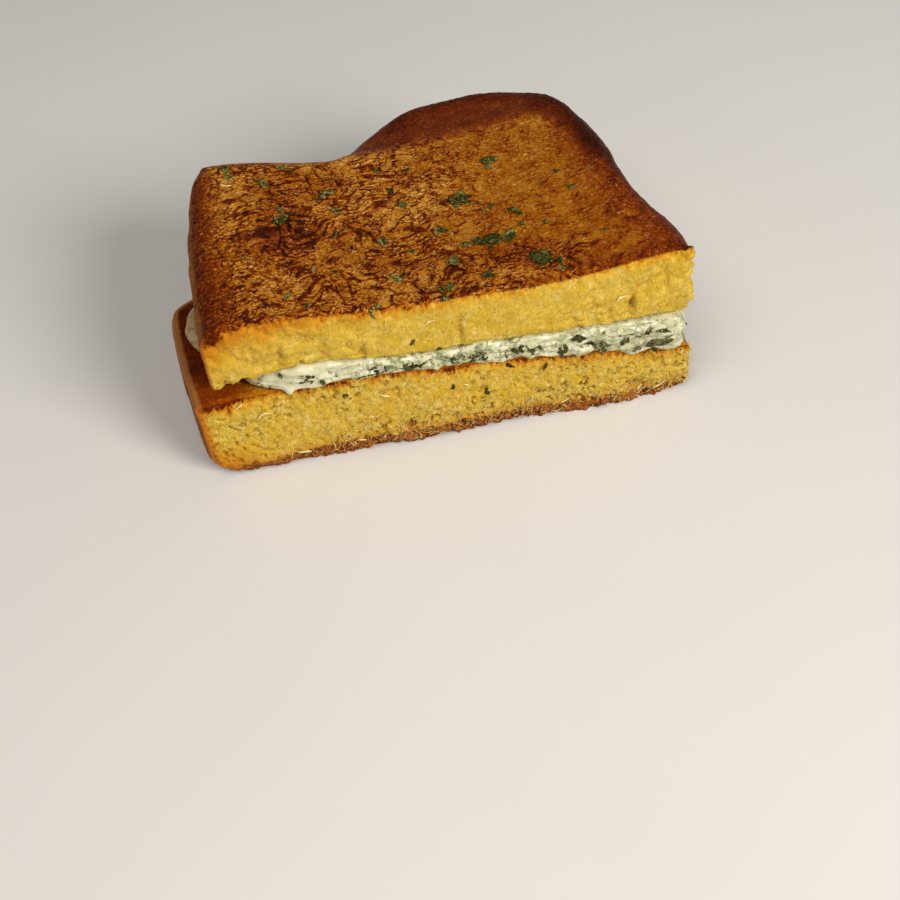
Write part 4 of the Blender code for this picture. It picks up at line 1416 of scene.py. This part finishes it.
class TOAST_OT_stage(bpy.types.Operator):
    """Makes the floor, the lights and the camera"""

    bl_idname = "toast.stage"
    bl_label = "Stage"

    def execute(self, context):
        scene = context.scene
        colours = scene.toast_colours
        mesh = bpy.data.meshes.new("floor")
        body = bmesh.new()
        bmesh.ops.create_grid(body, x_segments=2, y_segments=2, size=FLOOR_SIZE)
        body.to_mesh(mesh)
        body.free()
        floor = new_object("floor", mesh)
        floor.data.materials.append(floor_material(colours))
        world = bpy.data.worlds.new("soft_room")
        world.use_nodes = True
        background = world.node_tree.nodes["Background"]
        background.inputs["Color"].default_value = ROOM_COLOUR
        background.inputs["Strength"].default_value = ROOM_STRENGTH
        scene.world = world
        for light in LIGHTS:
            area_light(*light)
        camera = bpy.data.objects.new("camera", bpy.data.cameras.new("camera"))
        camera.data.lens = CAMERA_LENS
        camera.data.sensor_width = 36.0
        camera.data.clip_start = 0.01
        camera.location = CAMERA_EYE
        look = (CAMERA_AIM - CAMERA_EYE).to_track_quat("-Z", "Y")
        roll = Matrix.Rotation(CAMERA_ROLL, 3, "Z").to_quaternion()
        camera.rotation_mode = "QUATERNION"
        camera.rotation_quaternion = look @ roll
        scene.collection.objects.link(camera)
        scene.camera = camera
        scene.view_settings.view_transform = "Standard"
        return {"FINISHED"}


class TOAST_OT_slices(bpy.types.Operator):
    """Makes the two slices of bread"""

    bl_idname = "toast.slices"
    bl_label = "Slices"

    def execute(self, context):
        sizes, colours = context.scene.toast_sizes, context.scene.toast_colours
        upper = make_upper_slice(sizes)
        bread = bread_material("fried_bread", colours, False)
        finish_piece(upper, "top_toast", bread)
        lower = make_lower_slice(sizes)
        bread = bread_material("porous_bread", colours, True)
        finish_piece(lower, "bottom_toast", bread)
        return {"FINISHED"}


class TOAST_OT_cream(bpy.types.Operator):
    """Makes the cream between the slices"""

    bl_idname = "toast.cream"
    bl_label = "Cream"

    def execute(self, context):
        cream = make_cream(context.scene.toast_sizes)
        material = cream_material(context.scene.toast_colours)
        finish_piece(cream, "garlic_cream", material)
        return {"FINISHED"}


class TOAST_OT_herbs(bpy.types.Operator):
    """Scatters the herbs on the slices and in the cream"""

    bl_idname = "toast.herbs"
    bl_label = "Herbs"

    def execute(self, context):
        sizes, colours = context.scene.toast_sizes, context.scene.toast_colours
        context.view_layer.update()
        objects = bpy.data.objects
        flakes = make_parsley(sizes, objects["upper_slice"], objects["lower_slice"])
        finish_piece(flakes, None, leaf_material("dry_parsley", colours, False))
        herbs = make_cream_herbs(sizes, objects["herb_cream"])
        finish_piece(herbs, None, leaf_material("wet_herbs", colours, True))
        return {"FINISHED"}


class TOAST_OT_fibres(bpy.types.Operator):
    """Makes the fine fibres of the crumb on the cut faces"""

    bl_idname = "toast.fibres"
    bl_label = "Crumb fibres"

    def execute(self, context):
        sizes, colours = context.scene.toast_sizes, context.scene.toast_colours
        material = fibre_material("crumb_fibre", colours)
        objects = bpy.data.objects
        upper = make_fibres(
            "upper_crumb_fibres", objects["upper_slice"], sizes.upper_fibres,
            lambda x: (cream_span(x)[1] + 0.3, float(height_along(TOP_HEIGHT, x)) - 2),
            (FINE, LOOSE), UPPER_FIBRE_SEED,
        )
        finish_piece(upper, None, material)
        lower = make_fibres(
            "lower_crumb_fibres", objects["lower_slice"], sizes.lower_fibres,
            lambda x: (MIDDLE[2] + 0.8, cream_span(x)[0] - 0.4),
            (FINE, SHAGGY, LOOSE), LOWER_FIBRE_SEED,
        )
        finish_piece(lower, None, material)
        shreds = make_shreds(objects["upper_slice"], objects["lower_slice"])
        finish_piece(shreds, None, material)
        return {"FINISHED"}


class TOAST_PT_panel(bpy.types.Panel):
    """Lists the toast's parts in the sidebar"""

    bl_label = "Garlic toast"
    bl_idname = "TOAST_PT_panel"
    bl_space_type = "VIEW_3D"
    bl_region_type = "UI"
    bl_category = "Toast"

    def draw(self, context):
        for step in STEPS:
            self.layout.operator(step.bl_idname)
        for group in (context.scene.toast_sizes, context.scene.toast_colours):
            for name in group.__annotations__:
                self.layout.prop(group, name)


STEPS = (TOAST_OT_stage, TOAST_OT_slices, TOAST_OT_cream, TOAST_OT_herbs, TOAST_OT_fibres)
CLASSES = (ToastSizes, ToastColours, *STEPS, TOAST_PT_panel)


def register():
    for cls in CLASSES:
        bpy.utils.register_class(cls)
    bpy.types.Scene.toast_sizes = PointerProperty(type=ToastSizes)
    bpy.types.Scene.toast_colours = PointerProperty(type=ToastColours)


def unregister():
    del bpy.types.Scene.toast_colours
    del bpy.types.Scene.toast_sizes
    for cls in reversed(CLASSES):
        bpy.utils.unregister_class(cls)


def main():
    register()
    bpy.ops.toast.stage()
    bpy.ops.toast.slices()
    bpy.ops.toast.cream()
    bpy.ops.toast.herbs()
    bpy.ops.toast.fibres()


if __name__ == "__main__":
    main()
